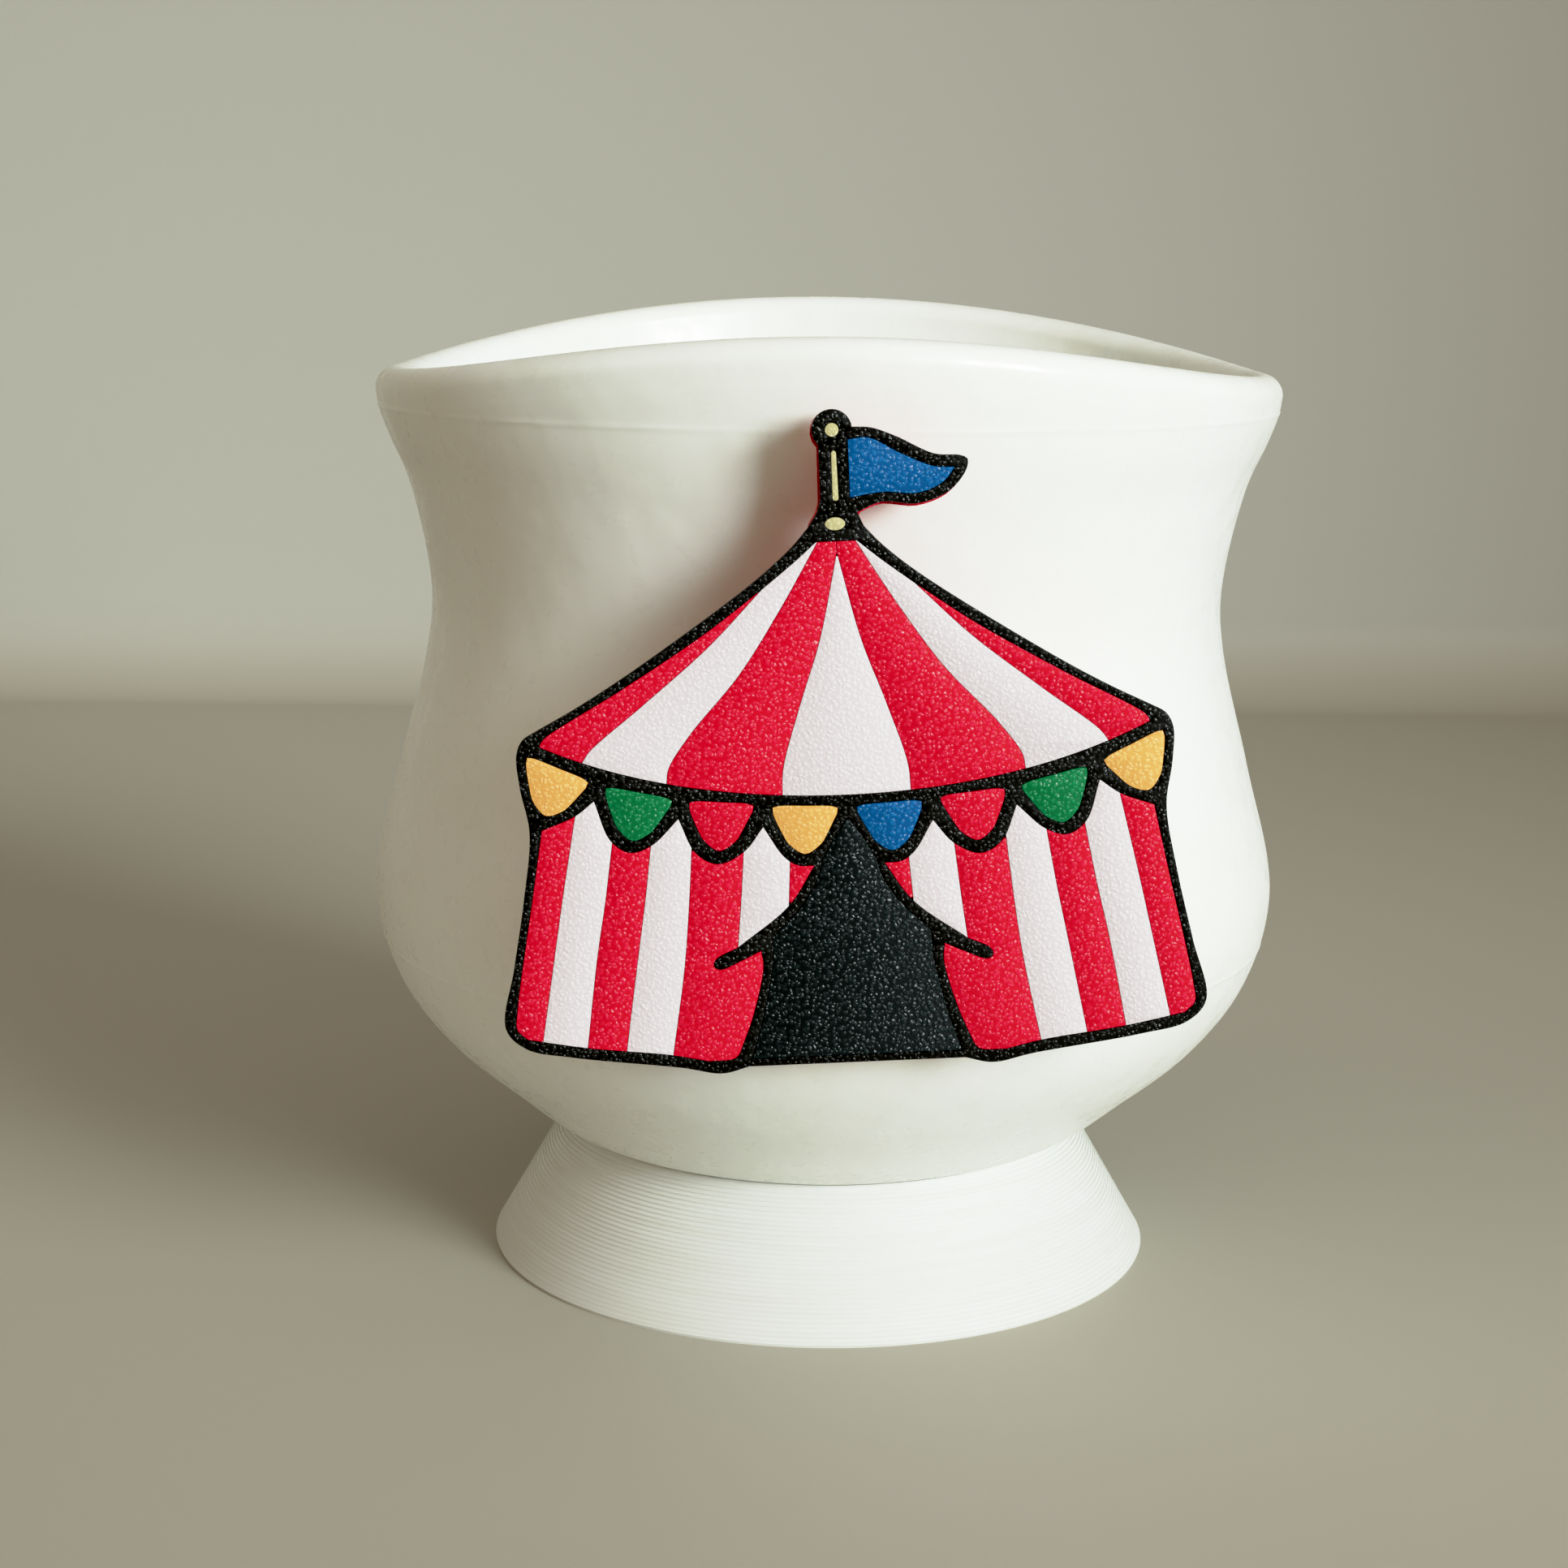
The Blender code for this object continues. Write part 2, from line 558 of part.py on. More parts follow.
def build_plate(parts, frame):
    """The red body of the plate and every coloured piece of its face."""
    back = 0.0
    body_front = PLATE_THICKNESS - FACE_THICKNESS - GAP
    face_back = PLATE_THICKNESS - FACE_THICKNESS
    outline = plate_outline()
    sheet("backing_plate", [body_outline(outline)], back, body_front, "red", parts, frame)

    pieces = {
        "doorway_panel": (doorway(), "slate"),
        "flag_panel": (joined(smooth(FLAG_TOP), smooth(FLAG_BOTTOM)), "blue"),
        "finial_bead": (ellipse(*FINIAL_CENTRE, FINIAL_BEAD_RADIUS, FINIAL_BEAD_RADIUS), "straw"),
        "pole_highlight": (capsule(*POLE_HIGHLIGHT), "straw"),
        "collar_bead": (ellipse(*COLLAR_BEAD), "straw"),
    }
    windows = [loop for loop, finish in pieces.values()]

    right_roof = roof_panels()
    roof = [mirrored(loop) for loop in reversed(right_roof[1:])] + right_roof
    for index, loop in enumerate(roof):
        pieces[f"roof_panel_{index + 1}"] = (loop, "white" if index % 2 else "red")
    windows.append(roof_window())

    for index, loop in enumerate(wall_panels()):
        finish = "white" if index % 2 else "red"
        pieces[f"wall_right_{index + 1}"] = (loop, finish)
        pieces[f"wall_left_{index + 1}"] = (mirrored(loop), finish)
    windows += [wall_window(), mirrored(wall_window())]

    right_pennants = [pennant(corners) for corners in PENNANTS]
    pennants = [mirrored(loop) for loop in reversed(right_pennants)] + right_pennants
    for index, (loop, finish) in enumerate(zip(pennants, PENNANT_COLOURS)):
        pieces[f"pennant_{index + 1}"] = (loop, finish)
        windows.append(loop)

    for name, (loop, finish) in pieces.items():
        sheet(name, [grown(loop, -GAP / 2)], face_back, PLATE_THICKNESS, finish, parts, frame)
    holes = [grown(loop, GAP / 2) for loop in windows]
    sheet("black_outline", [outline, *holes], face_back, PLATE_THICKNESS, "black", parts, frame)


def main():
    """Build every piece of the object."""
    clear_scene()
    parts = new_collection("vessel_with_tent_plate")
    cutters = new_collection("cutters")
    frame = bpy.data.objects.new("plate_frame", None)
    frame.location = (PLATE_X * MM, (AXIS_Y - PLATE_FRONT + PLATE_THICKNESS) * MM, PLATE_Z * MM)
    frame.rotation_euler = (math.radians(90), -PLATE_TILT, 0.0)
    parts.objects.link(frame)
    build_vessel(parts)
    build_foot_ring(parts)
    build_mounting(parts, cutters)
    build_plate(parts, frame)


main()
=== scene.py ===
"""Looks of the white waisted vessel on its foot ring, with the carnival tent plate on its front.

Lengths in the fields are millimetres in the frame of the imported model: the table is at
z = 0, the front faces -Y and X runs to the right. Meshes become metres when a piece is
finished. The tent is drawn in the plane of its plate, x to the right and y up from the
foot of the doorway's centre line.
"""

from __future__ import annotations

import logging
import math
from dataclasses import dataclass, field
from enum import Enum

import bmesh
import bpy
import numpy as np
from mathutils import Euler, Matrix, Vector


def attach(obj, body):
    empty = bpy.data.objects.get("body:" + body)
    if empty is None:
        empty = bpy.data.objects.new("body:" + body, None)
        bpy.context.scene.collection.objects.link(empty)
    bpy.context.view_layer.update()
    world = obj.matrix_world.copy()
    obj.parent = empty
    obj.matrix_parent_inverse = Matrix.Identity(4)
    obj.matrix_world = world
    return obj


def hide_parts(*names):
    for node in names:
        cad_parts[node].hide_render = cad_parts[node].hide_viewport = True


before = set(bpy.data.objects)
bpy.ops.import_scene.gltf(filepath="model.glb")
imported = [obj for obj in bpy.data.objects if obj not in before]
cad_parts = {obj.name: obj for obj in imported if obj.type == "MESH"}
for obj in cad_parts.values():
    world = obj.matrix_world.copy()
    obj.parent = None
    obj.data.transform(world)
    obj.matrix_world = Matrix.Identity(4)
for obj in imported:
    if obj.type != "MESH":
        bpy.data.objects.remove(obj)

MM = 0.001
BODY = "root"
LOG = logging.getLogger("vessel_with_tent")

# Millimetres within which points of a mesh, and points of a drawn line, are one.
MERGE = 0.0005
SAME_POINT = 0.05

# The values of a noise between which its patches fade from one level to the other.
PATCH_BAND = (0.30, 0.70)

Points = tuple[tuple[float, float], ...]
Loop = list[Vector]
Colour = tuple[float, float, float]
Pair = tuple[float, float]
Socket = bpy.types.NodeSocket
Mesh = bpy.types.Mesh


class Slot(Enum):
    """The material slots of the record."""

    MILKY = "milky"
    RING = "ring"
    RED = "red"
    WHITE = "white"
    BLACK = "black"
    SLATE = "slate"
    GREEN = "green"
    BLUE = "blue"
    YELLOW = "yellow"
    STRAW = "straw"
    PAD = "pad"


class NodeDesk:
    """Adds and wires the nodes of one node tree."""

    def __init__(self, group: bpy.types.NodeTree) -> None:
        """Work on the node tree of a material or of Geometry Nodes."""
        self.group = group

    def add(self, kind: str, inputs: dict | None = None, **settings: object) -> bpy.types.Node:
        """Add a node.

        Args:
            kind: The node's type name.
            inputs: Values or output sockets for its inputs, by name or number.
            **settings: Properties of the node itself.

        Returns:
            The new node.
        """
        node = self.group.nodes.new(kind)
        for key, value in settings.items():
            setattr(node, key, value)
        self.feed(node, inputs or {})
        return node

    def feed(self, node: bpy.types.Node, inputs: dict) -> None:
        """Fill a node's inputs.

        Args:
            node: The node.
            inputs: Values or output sockets for its inputs, by name or number.
        """
        for key, source in inputs.items():
            if isinstance(source, Socket):
                self.group.links.new(source, node.inputs[key])
            else:
                node.inputs[key].default_value = source

    def math(self, operation: str, *values: object) -> Socket:
        """Add a Math node for up to three numbers or output sockets, and give its result."""
        return self.add("ShaderNodeMath", dict(enumerate(values)), operation=operation).outputs[0]

    def ramp(self, value: object, low: float, high: float, start: float, end: float) -> Socket:
        """Map a value smoothly from the range low to high to the range start to end."""
        inputs = {"Value": value, "From Min": low, "From Max": high, "To Min": start, "To Max": end}
        return self.add("ShaderNodeMapRange", inputs, interpolation_type="SMOOTHSTEP").outputs[0]

    def part(self, vector: Socket, axis: str) -> Socket:
        """Give one coordinate of a vector."""
        return self.add("ShaderNodeSeparateXYZ", {0: vector}).outputs[axis]


class MaterialDesk(NodeDesk):
    """A node desk for one material, with the nodes that each finish here uses."""

    def __init__(self, name: str) -> None:
        """Start a material.

        Args:
            name: The material's name.
        """
        self.material = bpy.data.materials.new(name)
        self.material.use_nodes = True
        super().__init__(self.material.node_tree)
        self.shader = self.group.nodes["Principled BSDF"]
        self.place = self.add("ShaderNodeTexCoord").outputs["Object"]

    def noise(self, size: float, detail: float = 2.0, place: object = None) -> Socket:
        """Add a 3D noise of a grain size in millimetres, and give its value, about 0.5."""
        inputs = {"Vector": place or self.place, "Scale": 1.0 / (size * MM), "Detail": detail}
        return self.add("ShaderNodeTexNoise", inputs, noise_dimensions="3D").outputs[0]

    def patchy(self, size: float, detail: float, low: float, high: float) -> Socket:
        """Add a value that drifts between two levels in soft patches of a size in millimetres."""
        return self.ramp(self.noise(size, detail), *PATCH_BAND, low, high)

    def cells(self, size: float, output: str = "Distance") -> Socket:
        """Add a cell pattern of a size in millimetres, and give one of its outputs."""
        inputs = {"Vector": self.place, "Scale": 1.0 / (size * MM)}
        return self.add("ShaderNodeTexVoronoi", inputs, feature="F1").outputs[output]

    def domes(self, size: float, sway: float, reach: float) -> Socket:
        """Add a layer of small round domes on the plane that faces the front.

        Args:
            size: How far apart they are in millimetres.
            sway: How far their shapes are pulled about, in millimetres.
            reach: Radius of a dome as a share of their spacing.

        Returns:
            Their height, 0 between them and 1 at their tops.
        """
        noise = self.add("ShaderNodeTexNoise", {"Vector": self.place, "Scale": 1.0 / (size * 2 * MM)})
        inputs = {0: noise.outputs["Color"], 1: (sway * MM,) * 3, 2: self.place}
        bent = self.add("ShaderNodeVectorMath", inputs, operation="MULTIPLY_ADD").outputs[0]
        axes = self.add("ShaderNodeSeparateXYZ", {0: bent}).outputs
        flat = self.add("ShaderNodeCombineXYZ", {0: axes["X"], 1: axes["Z"]}).outputs[0]
        cells = {"Vector": flat, "Scale": 1.0 / (size * MM)}
        distance = self.add("ShaderNodeTexVoronoi", cells, voronoi_dimensions="2D").outputs["Distance"]
        return self.ramp(distance, 0.0, reach, 1.0, 0.0)

    def mix(self, share: object, base: object, other: object) -> Socket:
        """Mix a share of a second colour into a first one; each is a colour or a socket."""
        inputs = {0: share, 6: rgba(base), 7: rgba(other)}
        return self.add("ShaderNodeMix", inputs, data_type="RGBA").outputs[2]

    def relief(self, height: object, depth: float, below: object = None) -> Socket:
        """Add a bump.

        Args:
            height: The height from 0 to 1.
            depth: The depth in millimetres that a height of 1 stands for.
            below: The normal of another bump that this one lies on.

        Returns:
            The bumped normal.
        """
        inputs = {"Height": height, "Strength": 1.0, "Distance": depth * MM}
        if below is not None:
            inputs["Normal"] = below
        return self.add("ShaderNodeBump", inputs).outputs[0]

    def dress(self, sockets: dict[str, object]) -> bpy.types.Material:
        """Set the shader's inputs by name, and give the finished material."""
        self.feed(self.shader, sockets)
        return self.material


def rgba(colour: object) -> object:
    """Give a colour its fourth value; a socket is passed on as it is."""
    return colour if isinstance(colour, Socket) else (*colour, 1.0)


@dataclass(frozen=True)
class PrintedFinish:
    """Plastic printed on a pebbled bed: a faintly dented body under a glossy pebbled skin, with
    the faint lines of its printed passes. The pebbles' tops are painted lighter: a painted highlight."""

    slot: Slot
    colour: Colour
    # Lighter colour painted on the pebbles' tops: a painted highlight.
    top_highlight: Colour
    gloss: float = 0.42
    gloss_roughness: float = 0.24
    body_roughness: float = 0.55
    body_depth: float = 0.03
    grain: float = 0.45
    grain_depth: float = 0.11
    grain_sway: float = 0.70
    grain_reach: float = 0.62
    grain_share: Pair = (0.65, 1.30)
    grain_patch: float = 0.585
    pass_width: float = 0.466
    pass_angle: float = 62.0
    pass_depth: float = 0.005
    facing_band: Pair = (0.80, 0.98)
    rough_patch: float = 1.6
    rough_sway: Pair = (-0.05, 0.07)
    body_shine: float = 0.1

    def make(self) -> bpy.types.Material:
        """Build the material and return it."""
        desk = MaterialDesk(f"printed_{self.slot.value}")
        turn = (0.0, math.radians(self.pass_angle), 0.0)
        across = desk.add("ShaderNodeMapping", {"Vector": desk.place, "Rotation": turn}).outputs[0]
        steps = desk.math("MULTIPLY", desk.part(across, "X"), 2 * math.pi / (self.pass_width * MM))
        passes = desk.math("MULTIPLY_ADD", desk.math("SINE", steps), 0.5, 0.5)

        domes = desk.domes(self.grain, self.grain_sway, self.grain_reach)
        pebbles = desk.math("MULTIPLY", domes, desk.patchy(self.grain_patch, 1.0, *self.grain_share))

        facing = desk.part(desk.add("ShaderNodeNewGeometry").outputs["Normal"], "Y")
        flat = desk.ramp(desk.math("ABSOLUTE", facing), *self.facing_band, 0.0, 1.0)
        height = desk.math("MULTIPLY", pebbles, flat)
        lines = desk.relief(desk.math("MULTIPLY", passes, flat), self.pass_depth)
        rough = [self.body_roughness + sway for sway in self.rough_sway]
        return desk.dress({
            # Base colour: each pebble's top painted lighter, a painted highlight on every dome.
            "Base Color": desk.mix(pebbles, self.colour, self.top_highlight),
            "Roughness": desk.patchy(self.rough_patch, 2.0, *rough),
            "Normal": desk.relief(height, self.body_depth, lines),
            "IOR": 1.46,
            "Specular IOR Level": self.body_shine,
            "Coat Weight": self.gloss,
            "Coat Roughness": self.gloss_roughness,
            "Coat IOR": 1.5,
            "Coat Normal": desk.relief(height, self.grain_depth, lines),
        })


@dataclass(frozen=True)
class MouldedFinish:
    """Milky, satin moulded plastic that light enters, with a faint unevenness and a few specks."""

    colour: Colour = (0.84, 0.86, 0.82)
    warm: Colour = (0.83, 0.82, 0.75)
    warm_size: float = 24.0
    warm_band: Pair = (0.35, 0.65)
    warm_share: float = 0.5
    speck: Colour = (0.30, 0.28, 0.25)
    speck_cell: float = 8.5
    speck_edge: Pair = (0.020, 0.035)
    speck_chosen: Pair = (0.86, 0.92)
    speck_share: float = 0.8
    wave_size: float = 5.0
    wave_depth: float = 0.14
    skin_size: float = 1.0
    skin_depth: float = 0.012
    nick_cell: float = 13.0
    nick_edge: Pair = (0.05, 0.09)
    nick_patch: float = 9.0
    nick_chosen: Pair = (0.60, 0.66)
    nick_depth: float = -0.12
    roughness: float = 0.31
    rough_patch: float = 2.6
    rough_sway: Pair = (-0.06, 0.08)
    light_share: float = 0.35
    light_radius: Colour = (1.0, 1.05, 0.85)
    light_depth: float = 3.0

    def make(self) -> bpy.types.Material:
        """Build the material and return it."""
        desk = MaterialDesk("moulded_milky")
        warmth = desk.ramp(desk.noise(self.warm_size), *self.warm_band, 0.0, self.warm_share)
        body = desk.mix(warmth, self.colour, self.warm)
        draw = desk.part(desk.cells(self.speck_cell, "Color"), "X")
        dots = desk.ramp(desk.cells(self.speck_cell), *self.speck_edge, 1.0, 0.0)
        specks = desk.math("MULTIPLY", dots, desk.ramp(draw, *self.speck_chosen, 0.0, self.speck_share))

        waves = desk.relief(desk.noise(self.wave_size, 1.0), self.wave_depth)
        skin = desk.relief(desk.noise(self.skin_size, 1.0), self.skin_depth, waves)
        pits = desk.ramp(desk.cells(self.nick_cell), *self.nick_edge, 1.0, 0.0)
        chosen = desk.ramp(desk.noise(self.nick_patch, 0.0), *self.nick_chosen, 0.0, 1.0)
        nicks = desk.math("MULTIPLY", pits, chosen)

        rough = [self.roughness + sway for sway in self.rough_sway]
        return desk.dress({
            "Base Color": desk.mix(specks, body, self.speck),
            "Roughness": desk.patchy(self.rough_patch, 3.0, *rough),
            "Normal": desk.relief(nicks, self.nick_depth, skin),
            "IOR": 1.46,
            "Subsurface Weight": self.light_share,
            "Subsurface Radius": self.light_radius,
            "Subsurface Scale": self.light_depth * MM,
        })


@dataclass(frozen=True)
class LayeredFinish:
    """Matt printed plastic: each printed layer has a slightly different tone."""

    colour: Colour = (0.80, 0.81, 0.77)
    shade: Colour = (0.75, 0.75, 0.69)
    shade_band: Pair = (0.35, 0.65)
    shade_share: float = 0.55
    tone_height: float = 0.72
    tone_squash: Colour = (0.04, 0.04, 1.0)
    grain: float = 0.25
    grain_depth: float = 0.010
    roughness: float = 0.58
    rough_patch: float = 1.2
    rough_sway: Pair = (-0.05, 0.07)
    light_share: float = 0.18
    light_radius: Colour = (1.0, 1.0, 0.9)
    light_depth: float = 1.2

    def make(self) -> bpy.types.Material:
        """Build the material and return it."""
        desk = MaterialDesk("layered_ring")
        squash = desk.add("ShaderNodeMapping", {"Vector": desk.place, "Scale": self.tone_squash}).outputs[0]
        tones = desk.noise(self.tone_height, 1.0, squash)
        shade = desk.ramp(tones, *self.shade_band, 0.0, self.shade_share)
        rough = [self.roughness + sway for sway in self.rough_sway]
        return desk.dress({
            "Base Color": desk.mix(shade, self.colour, self.shade),
            "Roughness": desk.patchy(self.rough_patch, 2.0, *rough),
            "Normal": desk.relief(desk.noise(self.grain), self.grain_depth),
            "Subsurface Weight": self.light_share,
            "Subsurface Radius": self.light_radius,
            "Subsurface Scale": self.light_depth * MM,
        })


@dataclass(frozen=True)
class FoamFinish:
    """Open-celled foam of the mounting pad; its pores are dents, painted darker as painted shade."""

    colour: Colour = (0.55, 0.55, 0.53)
    # Darker colour in the pores: painted shade.
    pore_shade: Colour = (0.30, 0.30, 0.29)
    pore_cell: float = 0.42
    pore_edge: Pair = (0.18, 0.42)
    pore_depth: float = 0.08
    roughness: float = 0.9

    def make(self) -> bpy.types.Material:
        """Build the material and return it."""
        desk = MaterialDesk("foam_pad")
        pores = desk.ramp(desk.cells(self.pore_cell), *self.pore_edge, 1.0, 0.0)
        return desk.dress({
            # Pores are real dents in the bump, and are also painted darker as painted shade.
            "Base Color": desk.mix(pores, self.colour, self.pore_shade),
            "Roughness": self.roughness,
            "Normal": desk.relief(desk.math("SUBTRACT", 1.0, pores), self.pore_depth),
        })


@dataclass(frozen=True)
class StageFinish:
    """Plain pale counter and wall; the tone changes where the one turns into the other."""

    counter: Colour = (0.42, 0.39, 0.33)
    wall: Colour = (0.50, 0.49, 0.44)
    turn: Pair = (2.0, 26.0)
    grain: float = 1.4
    grain_depth: float = 0.01
    roughness: float = 0.55

    def make(self) -> bpy.types.Material:
        """Build the material and return it."""
        desk = MaterialDesk("plain_counter")
        rise = desk.ramp(desk.part(desk.place, "Z"), *[level * MM for level in self.turn], 0.0, 1.0)
        return desk.dress({
            "Base Color": desk.mix(rise, self.counter, self.wall),
            "Roughness": self.roughness,
            "Normal": desk.relief(desk.noise(self.grain), self.grain_depth),
        })


FINISHES: dict[Slot, PrintedFinish | MouldedFinish | LayeredFinish | FoamFinish] = {
    Slot.MILKY: MouldedFinish(),
    Slot.RING: LayeredFinish(),
    # Each printed finish: its slot, its own colour, then the lighter colour painted on its pebbles' tops as a
    # painted highlight.
    Slot.RED: PrintedFinish(Slot.RED, (0.54, 0.002, 0.018), (0.70, 0.010, 0.050)),
    Slot.WHITE: PrintedFinish(Slot.WHITE, (0.66, 0.575, 0.615), (0.74, 0.655, 0.695)),
    Slot.BLACK: PrintedFinish(Slot.BLACK, (0.001, 0.001, 0.001), (0.004, 0.004, 0.004), gloss=0.32),
    Slot.SLATE: PrintedFinish(Slot.SLATE, (0.001, 0.003, 0.004), (0.004, 0.010, 0.012)),
    Slot.GREEN: PrintedFinish(Slot.GREEN, (0.002, 0.128, 0.039), (0.006, 0.190, 0.066)),
    Slot.BLUE: PrintedFinish(Slot.BLUE, (0.001, 0.070, 0.225), (0.003, 0.112, 0.33)),
    Slot.YELLOW: PrintedFinish(Slot.YELLOW, (0.74, 0.345, 0.085), (0.86, 0.43, 0.13)),
    Slot.STRAW: PrintedFinish(Slot.STRAW, (0.47, 0.42, 0.21), (0.56, 0.50, 0.27)),
    Slot.PAD: FoamFinish(),
}


def placed(name: str, data: bpy.types.ID) -> bpy.types.Object:
    """A new object that holds the given data, linked to the scene."""
    thing = bpy.data.objects.new(name, data)
    bpy.context.scene.collection.objects.link(thing)
    return thing


class Workshop:
    """Makes materials once and hands finished pieces over to the frame."""

    def __init__(self) -> None:
        """Start with no material made."""
        self.made: dict[Slot, bpy.types.Material] = {}

    def material(self, slot: Slot) -> bpy.types.Material:
        """Give the material of a slot, made when it is first asked for.

        Args:
            slot: The record's slot.

        Returns:
            The material.
        """
        if slot not in self.made:
            self.made[slot] = FINISHES[slot].make()
        return self.made[slot]

    def hand_over(self, name: str, mesh: Mesh, slot: Slot, *nodes: str) -> bpy.types.Object:
        """Turn a mesh in metres into a finished piece of the object.

        Args:
            name: The piece's name.
            mesh: Its mesh, with its place in its vertices.
            slot: The slot that its finish comes from.
            *nodes: The CAD nodes that it stands for.

        Returns:
            The piece.
        """
        mesh.name = name
        mesh.materials.clear()
        mesh.materials.append(self.material(slot))
        piece = placed(name, mesh)
        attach(piece, BODY)
        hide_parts(*nodes)
        mesh.calc_loop_triangles()
        LOG.info("%s: %d triangles, stands for %s", name, len(mesh.loop_triangles), ", ".join(nodes))
        return piece

    def dress_node(self, node: str, slot: Slot) -> None:
        """Give a CAD node that stays a procedural material.

        Args:
            node: The node's name.
            slot: The slot that its finish comes from.
        """
        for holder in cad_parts[node].material_slots:
            holder.material = self.material(slot)
        LOG.info("%s: kept, dressed as %s", node, slot.value)


def smooth(points: Points | Loop, step: float) -> Loop:
    """Points along a centripetal Catmull-Rom curve.

    Args:
        points: What the curve goes through.
        step: Spacing of the points of the result.

    Returns:
        The curve's points.
    """
    knots = [Vector(point) for point in points]
    if len(knots) == 2:
        count = max(1, round((knots[1] - knots[0]).length / step))
        return [knots[0].lerp(knots[1], index / count) for index in range(count + 1)]
    knots = [2 * knots[0] - knots[1], *knots, 2 * knots[-1] - knots[-2]]
    line: Loop = []
    for a, b, c, d in zip(knots, knots[1:], knots[2:], knots[3:]):
        t1 = math.sqrt((b - a).length)
        t2 = t1 + math.sqrt((c - b).length)
        t3 = t2 + math.sqrt((d - c).length)
        count = max(1, round((c - b).length / step))
        for index in range(count):
            t = t1 + (t2 - t1) * index / count
            ab, bc, cd = a.lerp(b, t / t1), b.lerp(c, (t - t1) / (t2 - t1)), c.lerp(d, (t - t2) / (t3 - t2))
            abc, bcd = ab.lerp(bc, t / t2), bc.lerp(cd, (t - t1) / (t3 - t1))
            line.append(abc.lerp(bcd, (t - t1) / (t2 - t1)))
    return [*line, knots[-2]]


def arc(centre: Pair, radius: float, start: float, end: float, count: int) -> Loop:
    """Points on a circular arc.

    Args:
        centre: The circle's centre.
        radius: Its radius.
        start: Angle of the first point, in degrees.
        end: Angle of the last point, in degrees.
        count: Number of steps.

    Returns:
        The arc's points.
    """
    angles = [math.radians(start + (end - start) * index / count) for index in range(count + 1)]
    return [Vector((centre[0] + radius * math.cos(a), centre[1] + radius * math.sin(a))) for a in angles]


def mirrored(line: Loop) -> Loop:
    """The same line on the left of the tent, run in the other direction."""
    return [Vector((-point.x, point.y)) for point in reversed(line)]


def joined(*lines: Loop) -> Loop:
    """One closed loop from lines that meet end to end."""
    loop: Loop = []
    for point in [point for line in lines for point in line]:
        if not loop or (point - loop[-1]).length > SAME_POINT:
            loop.append(point)
    while (loop[0] - loop[-1]).length <= SAME_POINT:
        loop.pop()
    return loop


def point_at(line: Loop, x: float) -> Vector:
    """The point of a left-to-right line at a given x."""
    for a, b in zip(line, line[1:]):
        if a.x <= x <= b.x:
            return a.lerp(b, (x - a.x) / (b.x - a.x))
    return line[-1].copy()


def stretch(line: Loop, start: float, end: float) -> Loop:
    """The part of a left-to-right line between two x values."""
    inner = [point for point in line if start + SAME_POINT < point.x < end - SAME_POINT]
    return [point_at(line, start), *inner, point_at(line, end)]


def full_side(first: Vector, last: Vector, bulge: float, distance: float) -> Vector:
    """A point of a slightly curved side.

    Args:
        first: Where the side starts.
        last: Where it ends.
        bulge: How far its middle stands out to the left.
        distance: How far the point is from the start, along the straight line.

    Returns:
        The point.
    """
    run = last - first
    part = distance / run.length
    return first.lerp(last, part) + Vector((-run.y, run.x)).normalized() * bulge * 4 * part * (1 - part)


def beside(line: Loop, distance: float) -> Loop:
    """An open line moved to its right by a distance, or to its left by a negative one."""
    last = len(line) - 1
    moved: Loop = []
    for index, point in enumerate(line):
        along = (line[min(index + 1, last)] - line[max(index - 1, 0)]).normalized()
        moved.append(point + Vector((along.y, -along.x)) * distance)
    return moved


def grown(loop: Loop, distance: float, sharpest: float = 0.25, nearest: float = 0.95) -> Loop:
    """The loop moved outwards.

    Args:
        loop: A closed loop in either direction.
        distance: How far it moves, negative for inwards.
        sharpest: Limits how far a sharp corner runs out: smaller lets it run further.
        nearest: Points that end up closer than this share of the distance are left out.

    Returns:
        The moved loop, without the points that would cross it.
    """
    points = np.array([tuple(point) for point in loop])
    following = np.roll(points, -1, axis=0)
    run = following - points
    area = (points[:, 0] * following[:, 1] - points[:, 1] * following[:, 0]).sum()
    normal = np.stack([run[:, 1], -run[:, 0]], axis=1) * math.copysign(1.0, area)
    normal /= np.linalg.norm(normal, axis=1)[:, None]
    before = np.roll(normal, 1, axis=0)
    turn = np.maximum(1.0 + (before * normal).sum(axis=1), sharpest)
    places = points + (before + normal) * (distance / turn)[:, None]
    square = (run ** 2).sum(axis=1)
    kept: Loop = []
    for place in places:
        away = place - points
        part = np.clip((away * run).sum(axis=1) / square, 0.0, 1.0)
        gap = np.linalg.norm(away - run * part[:, None], axis=1).min()
        if gap > abs(distance) * nearest:
            kept.append(Vector(place))
    return kept


def from_object(source: bpy.types.Object) -> Mesh:
    """Take the evaluated shape of an object as a plain mesh and remove the object.

    Args:
        source: A curve or a mesh with its modifiers.

    Returns:
        The plain mesh.
    """
    bpy.context.view_layer.update()
    evaluated = source.evaluated_get(bpy.context.evaluated_depsgraph_get())
    mesh = bpy.data.meshes.new_from_object(evaluated)
    source.modifiers.clear()
    bpy.data.objects.remove(source)
    return mesh


def close_up(mesh: Mesh, place: Matrix, merge: float = 0.0008, sharp: float = 32.0) -> Mesh:
    """Merge a mesh in millimetres, turn its faces outwards and put it in place in metres.

    Args:
        mesh: The mesh to finish.
        place: Where it goes, in millimetres.
        merge: Points closer than this become one.
        sharp: Edges that turn more than this many degrees stay sharp.

    Returns:
        The same mesh.
    """
    work = bmesh.new()
    work.from_mesh(mesh)
    bmesh.ops.remove_doubles(work, verts=work.verts, dist=merge)
    bmesh.ops.dissolve_degenerate(work, dist=merge / 4, edges=work.edges)
    if work.calc_volume(signed=True) < 0:
        bmesh.ops.reverse_faces(work, faces=work.faces)
    work.to_mesh(mesh)
    work.free()
    mesh.transform(Matrix.Scale(MM, 4) @ place)
    mesh.shade_smooth()
    mesh.set_sharp_from_angle(angle=math.radians(sharp))
    return mesh


